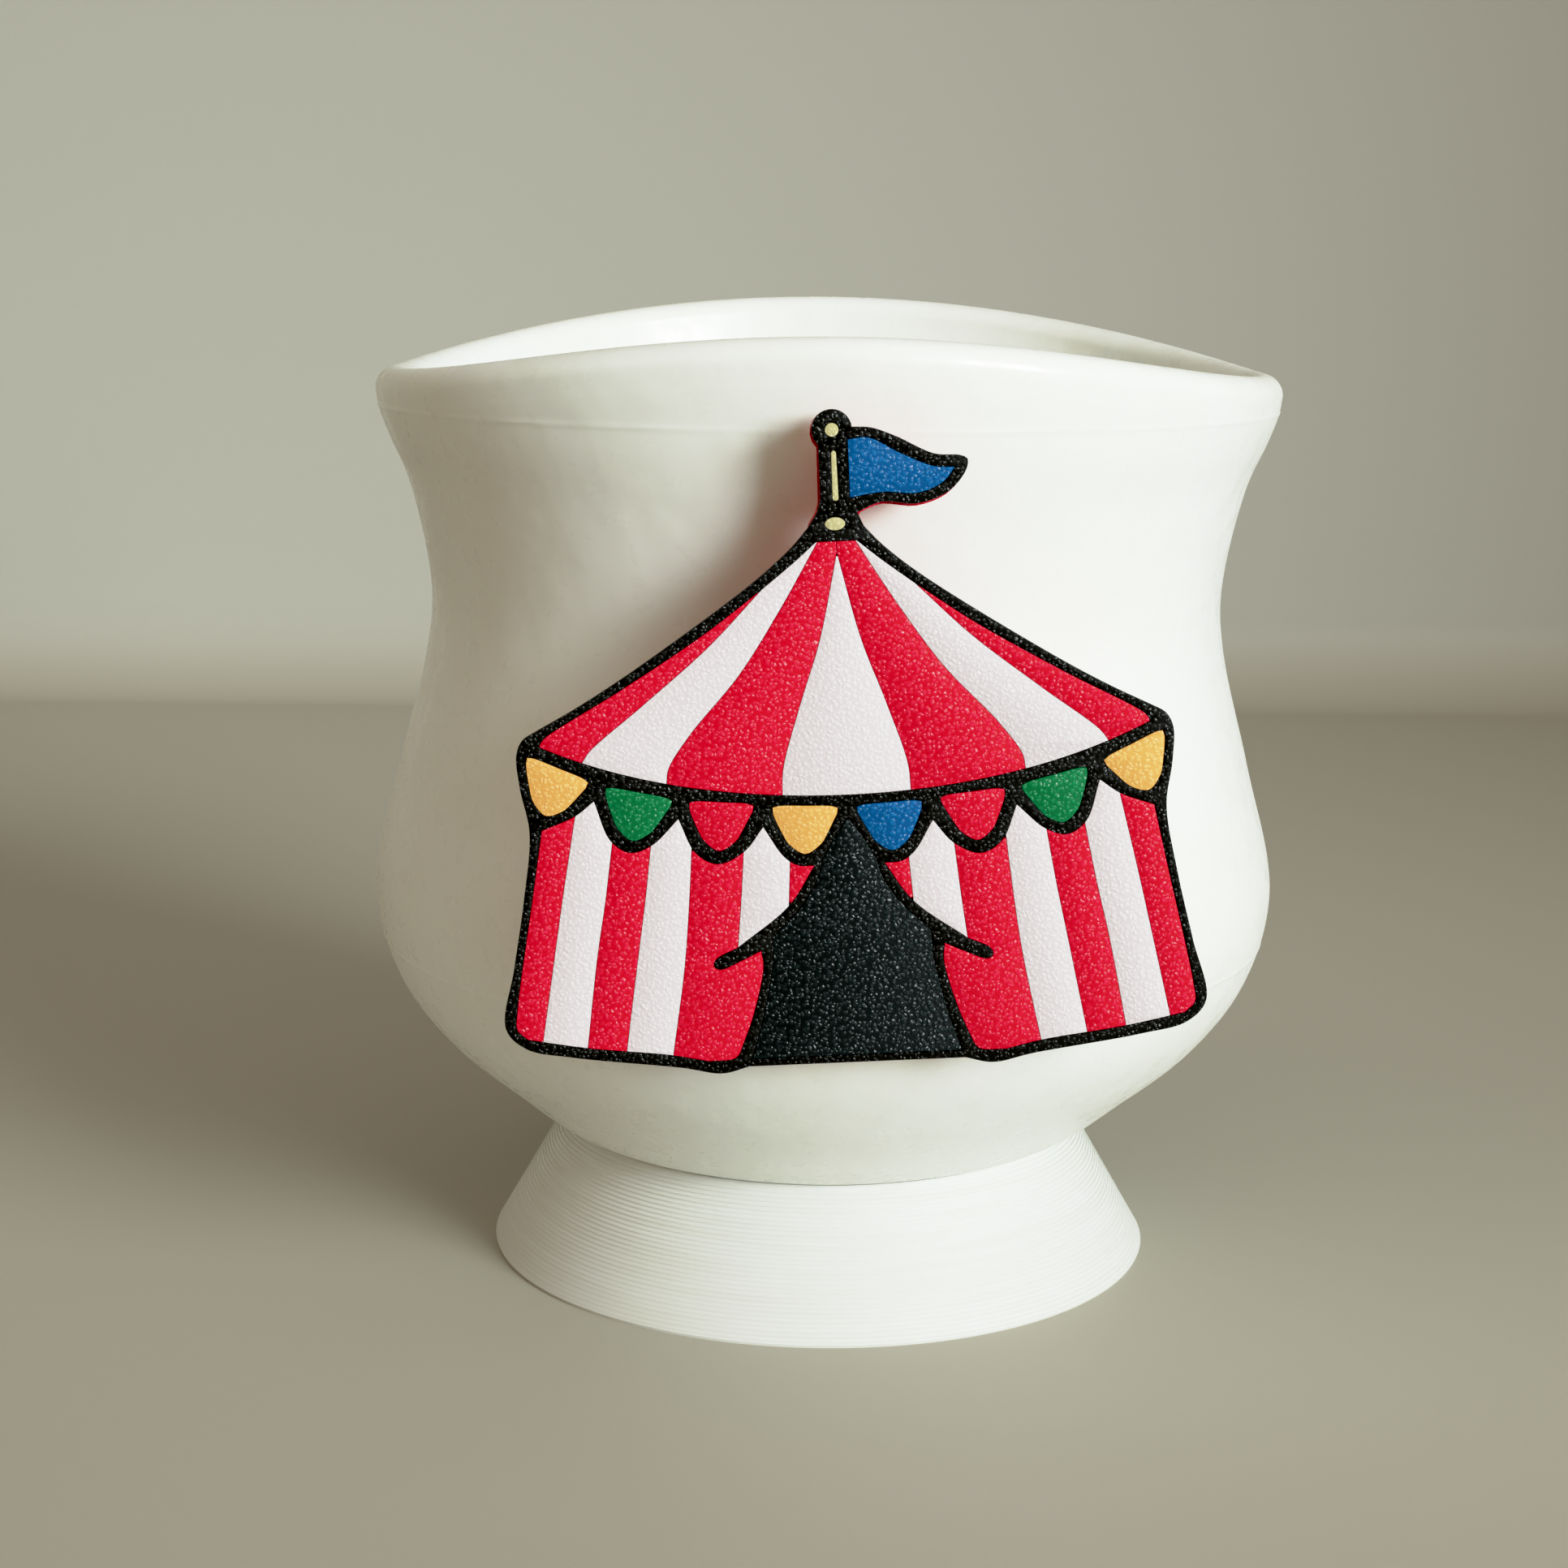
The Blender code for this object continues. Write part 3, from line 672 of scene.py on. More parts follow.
def together(name: str, *parts: Mesh) -> Mesh:
    """One new mesh that holds the shapes of several."""
    work = bmesh.new()
    for part in parts:
        work.from_mesh(part)
    mesh = bpy.data.meshes.new(name)
    work.to_mesh(mesh)
    work.free()
    return mesh


class ShapeTree(NodeDesk):
    """A Geometry Nodes tree with named inputs, and the modifier that runs it once."""

    def __init__(self, name: str) -> None:
        """Start a tree.

        Args:
            name: The tree's name.
        """
        super().__init__(bpy.data.node_groups.new(name, "GeometryNodeTree"))
        self.entry = self.group.nodes.new("NodeGroupInput")
        self.inlet("Shape", "NodeSocketGeometry")
        self.group.interface.new_socket(name="Shape", in_out="OUTPUT", socket_type="NodeSocketGeometry")

    def inlet(self, name: str, kind: str) -> Socket:
        """Add a named input of a socket type, and give its socket inside the tree."""
        self.group.interface.new_socket(name=name, in_out="INPUT", socket_type=kind)
        return self.entry.outputs[name]

    def numbers(self, *names: str) -> list[Socket]:
        """Add one input for a number for each name, and give their sockets."""
        return [self.inlet(name, "NodeSocketFloat") for name in names]

    def close(self, shape: Socket) -> None:
        """End the tree in Realize Instances and Set Material, with an input for the finish.

        Args:
            shape: The geometry to give out.
        """
        material = self.inlet("Finish", "NodeSocketMaterial")
        real = self.add("GeometryNodeRealizeInstances", {0: shape}).outputs[0]
        painted = self.add("GeometryNodeSetMaterial", {0: real, "Material": material}).outputs[0]
        self.add("NodeGroupOutput", {0: painted})

    def run(self, guide: Mesh, values: dict[str, object]) -> Mesh:
        """Run the tree on a guide mesh.

        Args:
            guide: The mesh that goes in.
            values: The inputs' values by name.

        Returns:
            The result as a plain mesh.
        """
        holder = placed(guide.name, guide)
        modifier = holder.modifiers.new(self.group.name, "NODES")
        modifier.node_group = self.group
        for item in self.group.interface.items_tree:
            if item.in_out == "INPUT" and item.name in values:
                modifier[item.identifier] = values[item.name]
        return from_object(holder)


def guide_mesh(name: str, points: list[tuple[float, float, float]], closed: bool) -> Mesh:
    """A mesh of one line of points and edges.

    Args:
        name: Its name.
        points: The line's points.
        closed: Whether the last point is joined to the first.

    Returns:
        The mesh.
    """
    mesh = bpy.data.meshes.new(name)
    edges = [(index, index + 1) for index in range(len(points) - 1)]
    if closed:
        edges.append((len(points) - 1, 0))
    mesh.from_pydata(points, edges, [])
    return mesh


def turning_tree() -> ShapeTree:
    """Build the tree that turns a profile about the Z axis and lifts the lip of the result.

    Returns:
        The tree. Its guide is the profile: x the radius, z the height, and y 1 where the level
        seam of the mould may show.
    """
    tree = ShapeTree("turned_body")
    steps = tree.inlet("Steps", "NodeSocketInt")
    lift_from, lift_full = tree.numbers("Lift From", "Lift Full")
    lift_front, lift_back = tree.numbers("Lift Front", "Lift Back")
    power_front, power_back = tree.numbers("Power Front", "Power Back")
    seam_height, seam_proud, seam_width = tree.numbers("Seam Height", "Seam Proud", "Seam Width")
    profile = tree.entry.outputs["Shape"]

    rows = tree.add("GeometryNodeAttributeDomainSize", {0: profile}, component="MESH").outputs[0]
    columns = tree.math("ADD", steps, 1.0)
    grid = tree.add("GeometryNodeMeshGrid", {"Vertices X": rows, "Vertices Y": columns}).outputs[0]
    index = tree.add("GeometryNodeInputIndex").outputs[0]
    row = tree.math("FLOOR", tree.math("DIVIDE", tree.math("ADD", index, 0.5), columns))
    column = tree.math("SUBTRACT", index, tree.math("MULTIPLY", row, columns))
    place = tree.add("GeometryNodeInputPosition").outputs[0]
    found = tree.add(
        "GeometryNodeSampleIndex", {0: profile, "Value": place, "Index": row}, data_type="FLOAT_VECTOR")
    knot = tree.add("ShaderNodeSeparateXYZ", {0: found.outputs[0]})

    angle = tree.math("MULTIPLY", tree.math("DIVIDE", column, steps), 2 * math.pi)
    cosine, sine = tree.math("COSINE", angle), tree.math("SINE", angle)
    share = tree.ramp(knot.outputs["Z"], lift_from, lift_full, 0.0, 1.0)
    behind = tree.math("GREATER_THAN", sine, 0.0)
    reach = tree.math("MULTIPLY_ADD", behind, tree.math("SUBTRACT", lift_back, lift_front), lift_front)
    power = tree.math("MULTIPLY_ADD", behind, tree.math("SUBTRACT", power_back, power_front), power_front)
    rise = tree.math("MULTIPLY", reach, tree.math("POWER", tree.math("ABSOLUTE", sine), power))
    height = tree.math("MULTIPLY_ADD", share, rise, knot.outputs["Z"])
    off = tree.math("DIVIDE", tree.math("SUBTRACT", height, seam_height), seam_width)
    ridge = tree.math("EXPONENT", tree.math("MULTIPLY", tree.math("MULTIPLY", off, off), -1.0))
    proud = tree.math("MULTIPLY", tree.math("MULTIPLY", ridge, seam_proud), knot.outputs["Y"])
    radius = tree.math("ADD", knot.outputs["X"], proud)
    spot = tree.add("ShaderNodeCombineXYZ", {
        0: tree.math("MULTIPLY", radius, cosine),
        1: tree.math("MULTIPLY", radius, sine),
        2: height,
    }).outputs[0]
    turned = tree.add("GeometryNodeSetPosition", {"Geometry": grid, "Position": spot}).outputs[0]
    merge = {"Geometry": turned, "Distance": MERGE}
    tree.close(tree.add("GeometryNodeMergeByDistance", merge).outputs[0])
    return tree


def bead_tree() -> ShapeTree:
    """Build the tree that stacks printed beads along a closed path, one for each layer.

    Returns:
        The tree. Its guide is the path of the lowest bead, in the XY plane.
    """
    tree = ShapeTree("stacked_beads")
    layers = tree.inlet("Layers", "NodeSocketInt")
    pitch, radius, shrink = tree.numbers("Pitch", "Bead Radius", "Shrink")
    arc_start, arc_sweep = tree.numbers("Arc Start", "Arc Sweep")

    path = tree.add("GeometryNodeMeshToCurve", {0: tree.entry.outputs["Shape"]}).outputs[0]
    level = tree.add("GeometryNodeSetCurveNormal", {"Curve": path}, mode="Z_UP").outputs[0]
    bead = tree.add("GeometryNodeCurveArc", {
        "Resolution": 6,
        "Radius": radius,
        "Start Angle": arc_start,
        "Sweep Angle": arc_sweep,
        "Connect Center": True,
    }).outputs[0]
    swept = tree.add("GeometryNodeCurveToMesh", {"Curve": level, "Profile Curve": bead}).outputs[0]
    step = tree.add("ShaderNodeCombineXYZ", {2: pitch}).outputs[0]
    line = tree.add("GeometryNodeMeshLine", {"Count": layers, "Offset": step}, mode="OFFSET").outputs[0]
    index = tree.add("GeometryNodeInputIndex").outputs[0]
    size = tree.math("SUBTRACT", 1.0, tree.math("MULTIPLY", index, shrink))
    scale = tree.add("ShaderNodeCombineXYZ", {0: size, 1: size, 2: 1.0}).outputs[0]
    stack = {"Points": line, "Instance": swept, "Scale": scale}
    tree.close(tree.add("GeometryNodeInstanceOnPoints", stack).outputs[0])
    return tree


@dataclass
class Vessel:
    """The hollow moulded vessel: belly, waist and a rolled lip raised in front and at the back."""

    shop: Workshop
    axis_y: float = 2.15
    outside: Points = (
        (0.0, 10.8), (12.0, 11.3), (20.0, 12.5), (25.0, 13.7), (29.0, 15.0), (32.4, 16.5), (38.0, 21.0),
        (44.8, 27.0), (49.65, 34.0), (51.9, 43.6), (48.8, 58.0), (45.6, 71.0), (45.1, 78.0), (47.5, 90.0),
        (49.6, 94.9), (50.7, 98.0), (51.0, 100.0),
    )
    wall: float = 4.6
    lip_z: float = 100.0
    lift_from: float = 90.0
    lift_front: float = 4.9
    lift_back: float = 7.3
    power_front: float = 3.1
    power_back: float = 1.8
    steps: int = 192
    seam: tuple[float, float, float] = (98.15, 0.09, 0.20)
    belly_seam: tuple[float, float, float] = (38.1, 0.07, 0.22)
    belly_rows: tuple[float, ...] = (-2.2, -1.4, -0.9, -0.5, 0.0, 0.5, 0.9, 1.4, 2.2)
    rim_rows: tuple[float, float, int] = (91.0, 0.2, 43)
    closest_rows: float = 0.02
    skin_step: float = 0.9
    hollow_step: float = 1.6
    lip_steps: int = 22
    floor_from: float = 0.3
    hollow_below: float = 0.6
    sharp: float = 60.0

    def axis(self) -> Matrix:
        """Where the vessel's upright axis is, in millimetres."""
        return Matrix.Translation((0.0, self.axis_y, 0.0))

    def skin(self) -> Loop:
        """The outer profile from the centre of the base to the lip, with the seam of the belly.

        Returns:
            Points of radius and height.
        """
        line = smooth(self.outside, self.skin_step)
        height, proud, width = self.belly_seam
        first, rise, rows = self.rim_rows
        levels = [height + width * share for share in self.belly_rows]
        levels += [first + rise * count for count in range(rows)]
        for level in levels:
            for index, (a, b) in enumerate(zip(line, line[1:])):
                if a.y < level < b.y and min(level - a.y, b.y - level) > self.closest_rows:
                    line.insert(index + 1, a.lerp(b, (level - a.y) / (b.y - a.y)))
                    break
        for point in line:
            point.x += proud * math.exp(-((point.y - height) / width) ** 2)
        return line

    def hollow(self) -> Loop:
        """The inner profile from the centre of the floor to the lip.

        Returns:
            Points of radius and height.
        """
        top = self.lip_z - self.hollow_below
        inner = beside(smooth(self.outside, self.hollow_step), -self.wall)
        inner = [point for point in inner if point.x > self.floor_from and point.y < top]
        return [Vector((0.0, inner[0].y)), *inner, Vector((self.outside[-1][0] - self.wall, self.lip_z))]

    def build(self) -> None:
        """Turn the profile and hand the vessel over."""
        outer, inner = self.skin(), self.hollow()
        rim = self.outside[-1][0]
        lip = arc((rim - self.wall / 2, self.lip_z), self.wall / 2, 180, 0, self.lip_steps)
        profile = [*inner[:-1], *lip, *reversed(outer[:-1])]
        skin_from = len(inner) - 1 + len(lip)
        points = [(point.x, float(index >= skin_from), point.y) for index, point in enumerate(profile)]
        turned = turning_tree().run(guide_mesh("vessel_profile", points, False), {
            "Steps": self.steps,
            "Lift From": self.lift_from,
            "Lift Full": self.lip_z,
            "Lift Front": self.lift_front,
            "Lift Back": self.lift_back,
            "Power Front": self.power_front,
            "Power Back": self.power_back,
            "Seam Height": self.seam[0],
            "Seam Proud": self.seam[1],
            "Seam Width": self.seam[2],
            "Finish": self.shop.material(Slot.MILKY),
        })
        mesh = close_up(turned, self.axis(), sharp=self.sharp)
        self.shop.hand_over("vessel", mesh, Slot.MILKY, "vessel_bowl")


@dataclass
class FootRing:
    """The flared printed ring under the vessel, with the beads of its layers."""

    shop: Workshop
    vessel: Vessel
    base_radius: float = 38.8
    slope: float = 0.57
    top_radius: float = 30.0
    wall: float = 3.4
    clearance: float = 0.04
    skin: float = 0.0015
    pitch: float = 0.45
    bevel: float = 0.35
    first_layer: float = 0.27
    bead_radius: float = 0.62
    bead_arc: Pair = (-40.0, 21.0)
    profile_step: float = 1.0
    steps: int = 160
    no_lift: Pair = (900.0, 901.0)
    sharp: float = 50.0

    def core(self) -> Mesh:
        """Turn the ring's core, with its seat cut to the vessel's underside.

        Returns:
            The core's mesh.
        """
        seat = beside(smooth(self.vessel.outside, self.profile_step), self.clearance)
        inner_base = self.base_radius - self.wall
        inner_top = inner_base - self.slope * point_at(seat, self.top_radius - self.wall).y
        outer_base, bevel = self.base_radius - self.skin, self.bevel
        profile = [
            (self.top_radius - self.skin, point_at(seat, self.top_radius).y - bevel),
            (outer_base - self.slope * bevel, bevel),
            (outer_base - bevel, 0.0),
            (inner_base + bevel, 0.0),
            (inner_base - self.slope * bevel, bevel),
            *stretch(seat, inner_top, self.top_radius - bevel),
        ]
        points = [(radius, 0.0, height) for radius, height in [*profile, profile[0]]]
        return turning_tree().run(guide_mesh("ring_profile", points, False), {
            "Steps": self.steps,
            "Lift From": self.no_lift[0],
            "Lift Full": self.no_lift[1],
            "Seam Width": 1.0,
            "Finish": self.shop.material(Slot.RING),
        })

    def beads(self) -> Mesh:
        """Stack the beads of the printed layers.

        Returns:
            The beads' mesh.
        """
        first = self.first_layer
        radius = self.base_radius - self.slope * first - self.bead_radius * math.hypot(1.0, self.slope)
        path = [(point.x, point.y, first) for point in arc((0.0, 0.0), radius, 0, 360, self.steps)[:-1]]
        top = point_at(smooth(self.vessel.outside, self.profile_step), self.top_radius).y - self.clearance
        return bead_tree().run(guide_mesh("ring_path", path, True), {
            "Layers": int((top - 2 * first) / self.pitch),
            "Pitch": self.pitch,
            "Bead Radius": self.bead_radius,
            "Shrink": self.slope * self.pitch / radius,
            "Arc Start": math.radians(self.bead_arc[0]),
            "Arc Sweep": math.radians(self.bead_arc[1]),
            "Finish": self.shop.material(Slot.RING),
        })

    def build(self) -> None:
        """Join core and beads and hand the ring over."""
        place = self.vessel.axis()
        parts = [close_up(part, place, MERGE, self.sharp) for part in (self.core(), self.beads())]
        self.shop.hand_over("ring", together("ring", *parts), Slot.RING, "foot_ring")


@dataclass(frozen=True)
class TentDrawing:
    """The tent's edges, right-hand half, each a smooth line through its points."""

    step: float = 0.4
    sill: Points = ((0.0, 0.2), (10.6, 0.2))
    wall_side: Points = (
        (10.6, 0.2), (13.3, -0.4), (17.3, 0.35), (27.9, 1.85), (32.4, 2.9), (34.3, 5.0), (33.1, 11.2),
        (31.75, 17.9), (30.8, 24.6), (31.45, 28.9), (31.6, 32.2), (31.0, 33.55), (29.6, 34.4),
    )
    roof_side: Points = ((29.6, 34.4), (25.4, 36.6), (19.8, 39.95), (8.0, 47.9), (4.3, 51.0), (2.7, 52.75))
    neck_right: Points = ((2.7, 52.75), (2.1, 54.1))
    neck_left: Points = ((-1.35, 55.6), (-1.65, 54.4), (-2.7, 52.75))
    flag_side: Points = (
        (2.1, 54.1), (4.4, 55.0), (7.9, 54.7), (10.8, 55.7), (12.5, 57.6), (12.7, 58.7), (12.0, 59.05),
        (9.6, 59.3), (6.0, 61.1), (3.7, 62.0), (1.9, 62.15),
    )
    finial: tuple[float, float, float] = (0.0, 61.95, 1.93)
    mast_half: float = 1.35
    flag_top: Points = ((1.45, 61.0), (3.4, 61.1), (6.4, 59.5), (9.5, 58.15), (11.5, 58.0))
    flag_bottom: Points = ((11.5, 58.0), (10.3, 56.6), (8.0, 55.7), (4.6, 55.9), (1.45, 55.5))
    finial_dot: tuple[float, ...] = (0.0, 61.95, 0.66, 0.66)
    mast_glint: tuple[tuple[float, float, float], ...] = ((0.08, 59.75, 0.25), (0.10, 55.55, 0.30))
    collar_dot: tuple[float, ...] = (-0.05, 53.1, 0.98, 0.63)
    roof_top: float = 51.45
    roof_edge_upper: Points = ((1.95, 51.45), (4.2, 49.55), (7.3, 47.15))
    roof_edge_lower: Points = ((7.3, 47.15), (13.0, 43.1), (21.0, 38.2), (28.9, 33.65), (29.3, 33.1))
    seam_centre: Points = ((0.0, 50.4), (2.0, 42.0), (4.15, 35.8), (6.0, 29.8))
    seam_middle: Points = ((1.8, 51.45), (5.6, 45.2), (9.85, 39.0), (14.85, 33.4), (17.05, 30.2))
    seam_outer: Points = ((7.3, 47.15), (12.6, 41.9), (19.2, 36.5), (24.5, 32.3))
    seam_feet: tuple[float, ...] = (6.2, 17.3, 25.35)
    eave_curve: tuple[float, ...] = (26.95, 0.0056, 1.5e-6)
    scallops: tuple[Points, ...] = (
        ((3.4, 20.1), (5.0, 20.2), (6.3, 21.1), (8.2, 24.15)),
        ((8.2, 24.15), (10.15, 21.8), (12.75, 20.65), (14.8, 21.8), (16.35, 25.3)),
        ((16.35, 25.3), (19.05, 22.8), (21.2, 22.15), (23.0, 23.4), (24.4, 27.4)),
        ((24.4, 27.4), (26.35, 25.97), (29.6, 24.7)),
    )
    wall_edge: Points = ((29.6, 24.7), (30.8, 18.5), (33.1, 6.6), (33.2, 4.9), (32.2, 3.85))
    hem: Points = ((14.6, 0.9), (18.05, 1.65), (26.4, 2.75), (32.2, 3.85))
    flap_corner: Points = ((11.0, 2.8), (11.9, 1.15), (14.6, 0.9))
    door_side: Points = ((8.95, 11.85), (8.8, 10.2), (10.0, 5.4), (11.0, 2.8))
    fold: Points = ((11.2, 12.25), (13.35, 11.2), (13.65, 10.5), (13.1, 10.1), (10.85, 10.95), (8.95, 11.85))
    curtain: Points = ((3.4, 20.1), (6.05, 16.2), (11.2, 12.25))
    wall_seams: tuple[tuple[float, Points, float], ...] = (
        (26.3, ((27.9, 18.3), (29.3, 11.1)), 30.75),
        (22.85, ((23.85, 17.4), (24.95, 11.8)), 26.4),
        (19.15, ((20.0, 17.2), (20.95, 11.8)), 22.6),
        (15.2, ((15.75, 16.6), (16.5, 10.4)), 18.05),
    )
    inner_seam: tuple[float, float, float] = (10.2, 10.65, 17.1)
    tip_seam: float = 5.75
    doorway: tuple[Points, ...] = (
        ((0.0, 24.7), (1.3, 22.9), (2.6, 20.6)),
        ((2.6, 20.6), (3.3, 18.4), (5.1, 15.8), (7.7, 13.2)),
        ((7.7, 13.2), (7.85, 10.4), (9.05, 5.0), (10.3, 0.95)),
    )
    pennants: tuple[Points, ...] = (
        ((0.7, 25.85), (7.4, 26.15), (4.25, 20.25)),
        ((8.8, 26.4), (15.4, 27.0), (12.6, 20.9)),
        ((16.6, 27.2), (23.35, 28.8), (21.05, 22.3)),
        ((24.6, 29.3), (30.7, 32.15), (29.45, 25.15)),
    )
    pennant_rounds: Points = ((0.75, 0.40), (0.75, 0.40), (2.6, 0.5))
    pennant_bulges: tuple[float, ...] = (0.05, 0.42, 0.32)
    oval_steps: int = 40
    knob_steps: int = 22
    knob_from: float = 6.0
    bar_steps: int = 14

    def line(self, points: Points | Loop) -> Loop:
        """One edge of the drawing as a fine line."""
        return smooth(points, self.step)

    def oval(self, shape: tuple[float, ...]) -> Loop:
        """The loop of an oval given as x, y, half width and half height."""
        x, y, wide, high = shape
        circle = arc((0.0, 0.0), 1.0, 0, 360, self.oval_steps)[:-1]
        return [Vector((x + wide * point.x, y + high * point.y)) for point in circle]

    def bar(self, ends: tuple[tuple[float, float, float], ...]) -> Loop:
        """The loop of an upright bar with round ends, each given as x, y and radius."""
        top, bottom = ends
        steps = self.bar_steps
        return [*arc(top[:2], top[2], 0, 180, steps), *arc(bottom[:2], bottom[2], 180, 360, steps)]

    def silhouette(self) -> Loop:
        """The outline of the whole plate, anticlockwise from the sill."""
        half = [self.line(edge) for edge in (self.sill, self.wall_side, self.roof_side)]
        x, y, radius = self.finial
        foot = math.degrees(math.acos(self.mast_half / radius))
        knob = arc((x, y), radius, self.knob_from, 180 + foot, self.knob_steps)
        mast = [self.line(self.neck_right), self.line(self.flag_side), knob, self.line(self.neck_left)]
        return joined(*half, *mast, *[mirrored(edge) for edge in reversed(half)])

    def body(self, silhouette: Loop, set_back: float, shift: Pair) -> Loop:
        """The red body's outline: set back under roof and walls, shifted at the mast and flag.

        Args:
            silhouette: The outline of the plate.
            set_back: How far the body stays inside it.
            shift: How far its mast and flag are off to the side and up.

        Returns:
            The body's loop.
        """
        neck = self.neck_right[0][1]
        mast = [point + Vector(shift) for point in silhouette if point.y > neck]
        below = [point for point in grown(silhouette, -set_back) if point.y <= neck]
        return joined([p for p in below if p.x >= 0], mast, [p for p in below if p.x < 0])

    def eave(self, start: float, end: float) -> Loop:
        """The upper edge of the eave string between two x values."""
        base, bend, rise = self.eave_curve
        count = max(2, round(abs(end - start) / self.step))
        steps = [start + (end - start) * index / count for index in range(count + 1)]
        return [Vector((x, base + bend * x ** 2 + rise * x ** 4)) for x in steps]

    def roof_stripes(self) -> list[Loop]:
        """Loops of the roof's stripes, left to right."""
        feet = self.seam_feet
        seams = []
        for points, foot in zip((self.seam_centre, self.seam_middle, self.seam_outer), feet):
            seams.append(self.line([*[Vector(point) for point in points], self.eave(foot, foot + 1)[0]]))
        centre, middle, outer = seams
        upper, lower = self.line(self.roof_edge_upper), self.line(self.roof_edge_lower)
        apex = [Vector((0.0, self.roof_top))]
        tip = lower[-1].x
        right = [
            joined(mirrored(centre), centre, self.eave(feet[0], -feet[0])),
            joined(apex, centre, self.eave(feet[0], feet[1]), middle[::-1]),
            joined(middle, self.eave(feet[1], feet[2]), outer[::-1], upper[::-1]),
            joined(outer, self.eave(feet[2], tip), lower[::-1]),
        ]
        return [mirrored(loop) for loop in reversed(right[1:])] + right

    def roof_window(self) -> Loop:
        """The opening of the black outline that holds the whole roof."""
        edge = joined(self.line(self.roof_edge_upper), self.line(self.roof_edge_lower))
        tip = edge[-1].x
        return joined(edge, self.eave(tip, -tip), mirrored(edge))

    def pennant_edge(self) -> Loop:
        """The line under the pennants' outlines, left to right."""
        return joined(*[self.line(edge) for edge in self.scallops])

    def wall_window(self) -> Loop:
        """The opening of the black outline that holds the right-hand wall."""
        inner = (self.hem, self.flap_corner, self.door_side, self.fold, self.curtain)
        sides = (self.wall_edge, *[side[::-1] for side in inner])
        return joined(self.pennant_edge(), *[self.line(side) for side in sides])

    def wall_stripes(self) -> list[Loop]:
        """Loops of the right-hand wall's stripes, from the outside inwards."""
        top, hem, curtain = self.pennant_edge(), self.line(self.hem), self.line(self.curtain)
        seams = []
        for top_x, between, foot_x in self.wall_seams:
            knots = [point_at(top, top_x), *[Vector(point) for point in between], point_at(hem, foot_x)]
            seams.append(self.line(knots))
        joint, fold_joint = Vector(self.curtain[1]), Vector(self.fold[0])
        inner_top, bend_x, bend_y = self.inner_seam
        inner = self.line([point_at(top, inner_top), Vector((bend_x, bend_y)), fold_joint])
        tip = self.line([point_at(top, self.tip_seam), joint])
        feet, tops = [line[-1].x for line in seams], [line[0].x for line in seams]
        edge = self.line(self.wall_edge)
        loops = [joined(
            stretch(top, tops[0], edge[0].x), edge, stretch(hem, feet[0], hem[-1].x)[::-1], seams[0][::-1])]
        for outer in range(len(seams) - 1):
            loops.append(joined(
                stretch(top, tops[outer + 1], tops[outer]), seams[outer],
                stretch(hem, feet[outer + 1], feet[outer])[::-1], seams[outer + 1][::-1]))
        sides = [self.line(side)[::-1] for side in (self.flap_corner, self.door_side, self.fold)]
        loops.append(joined(
            stretch(top, inner_top, tops[-1]), seams[-1],
            stretch(hem, hem[0].x, feet[-1])[::-1], *sides, inner[::-1]))
        loops.append(joined(
            stretch(top, self.tip_seam, inner_top), inner,
            stretch(curtain, joint.x, fold_joint.x)[::-1], tip[::-1]))
        loops.append(joined(
            stretch(top, top[0].x, self.tip_seam), tip, stretch(curtain, curtain[0].x, joint.x)[::-1]))
        return loops

    def pennant(self, corners: Points) -> Loop:
        """A hanging triangle with slightly full sides and rounded corners."""
        knots = [Vector(corner) for corner in corners]
        sides = list(zip(knots, [*knots[1:], knots[0]], self.pennant_bulges))
        loop: Loop = []
        for index, (knot, (reach, depth)) in enumerate(zip(knots, self.pennant_rounds)):
            before, after = sides[index - 1], sides[index]
            start = full_side(*before, (before[1] - before[0]).length - reach)
            end = full_side(*after, reach)
            middle = full_side(*after, (after[1] - after[0]).length / 2)
            loop += [start, knot.lerp((start + end) / 2, depth), end, middle]
        return joined(self.line([*loop, loop[0]]))

    def pennant_loops(self) -> list[Loop]:
        """Loops of all the pennants, left to right."""
        right = [self.pennant(corners) for corners in self.pennants]
        return [mirrored(loop) for loop in reversed(right)] + right

    def doorway_loop(self) -> Loop:
        """The dark opening between the curtains."""
        half = joined(*[self.line(edge) for edge in self.doorway])
        return joined(half, mirrored(half))


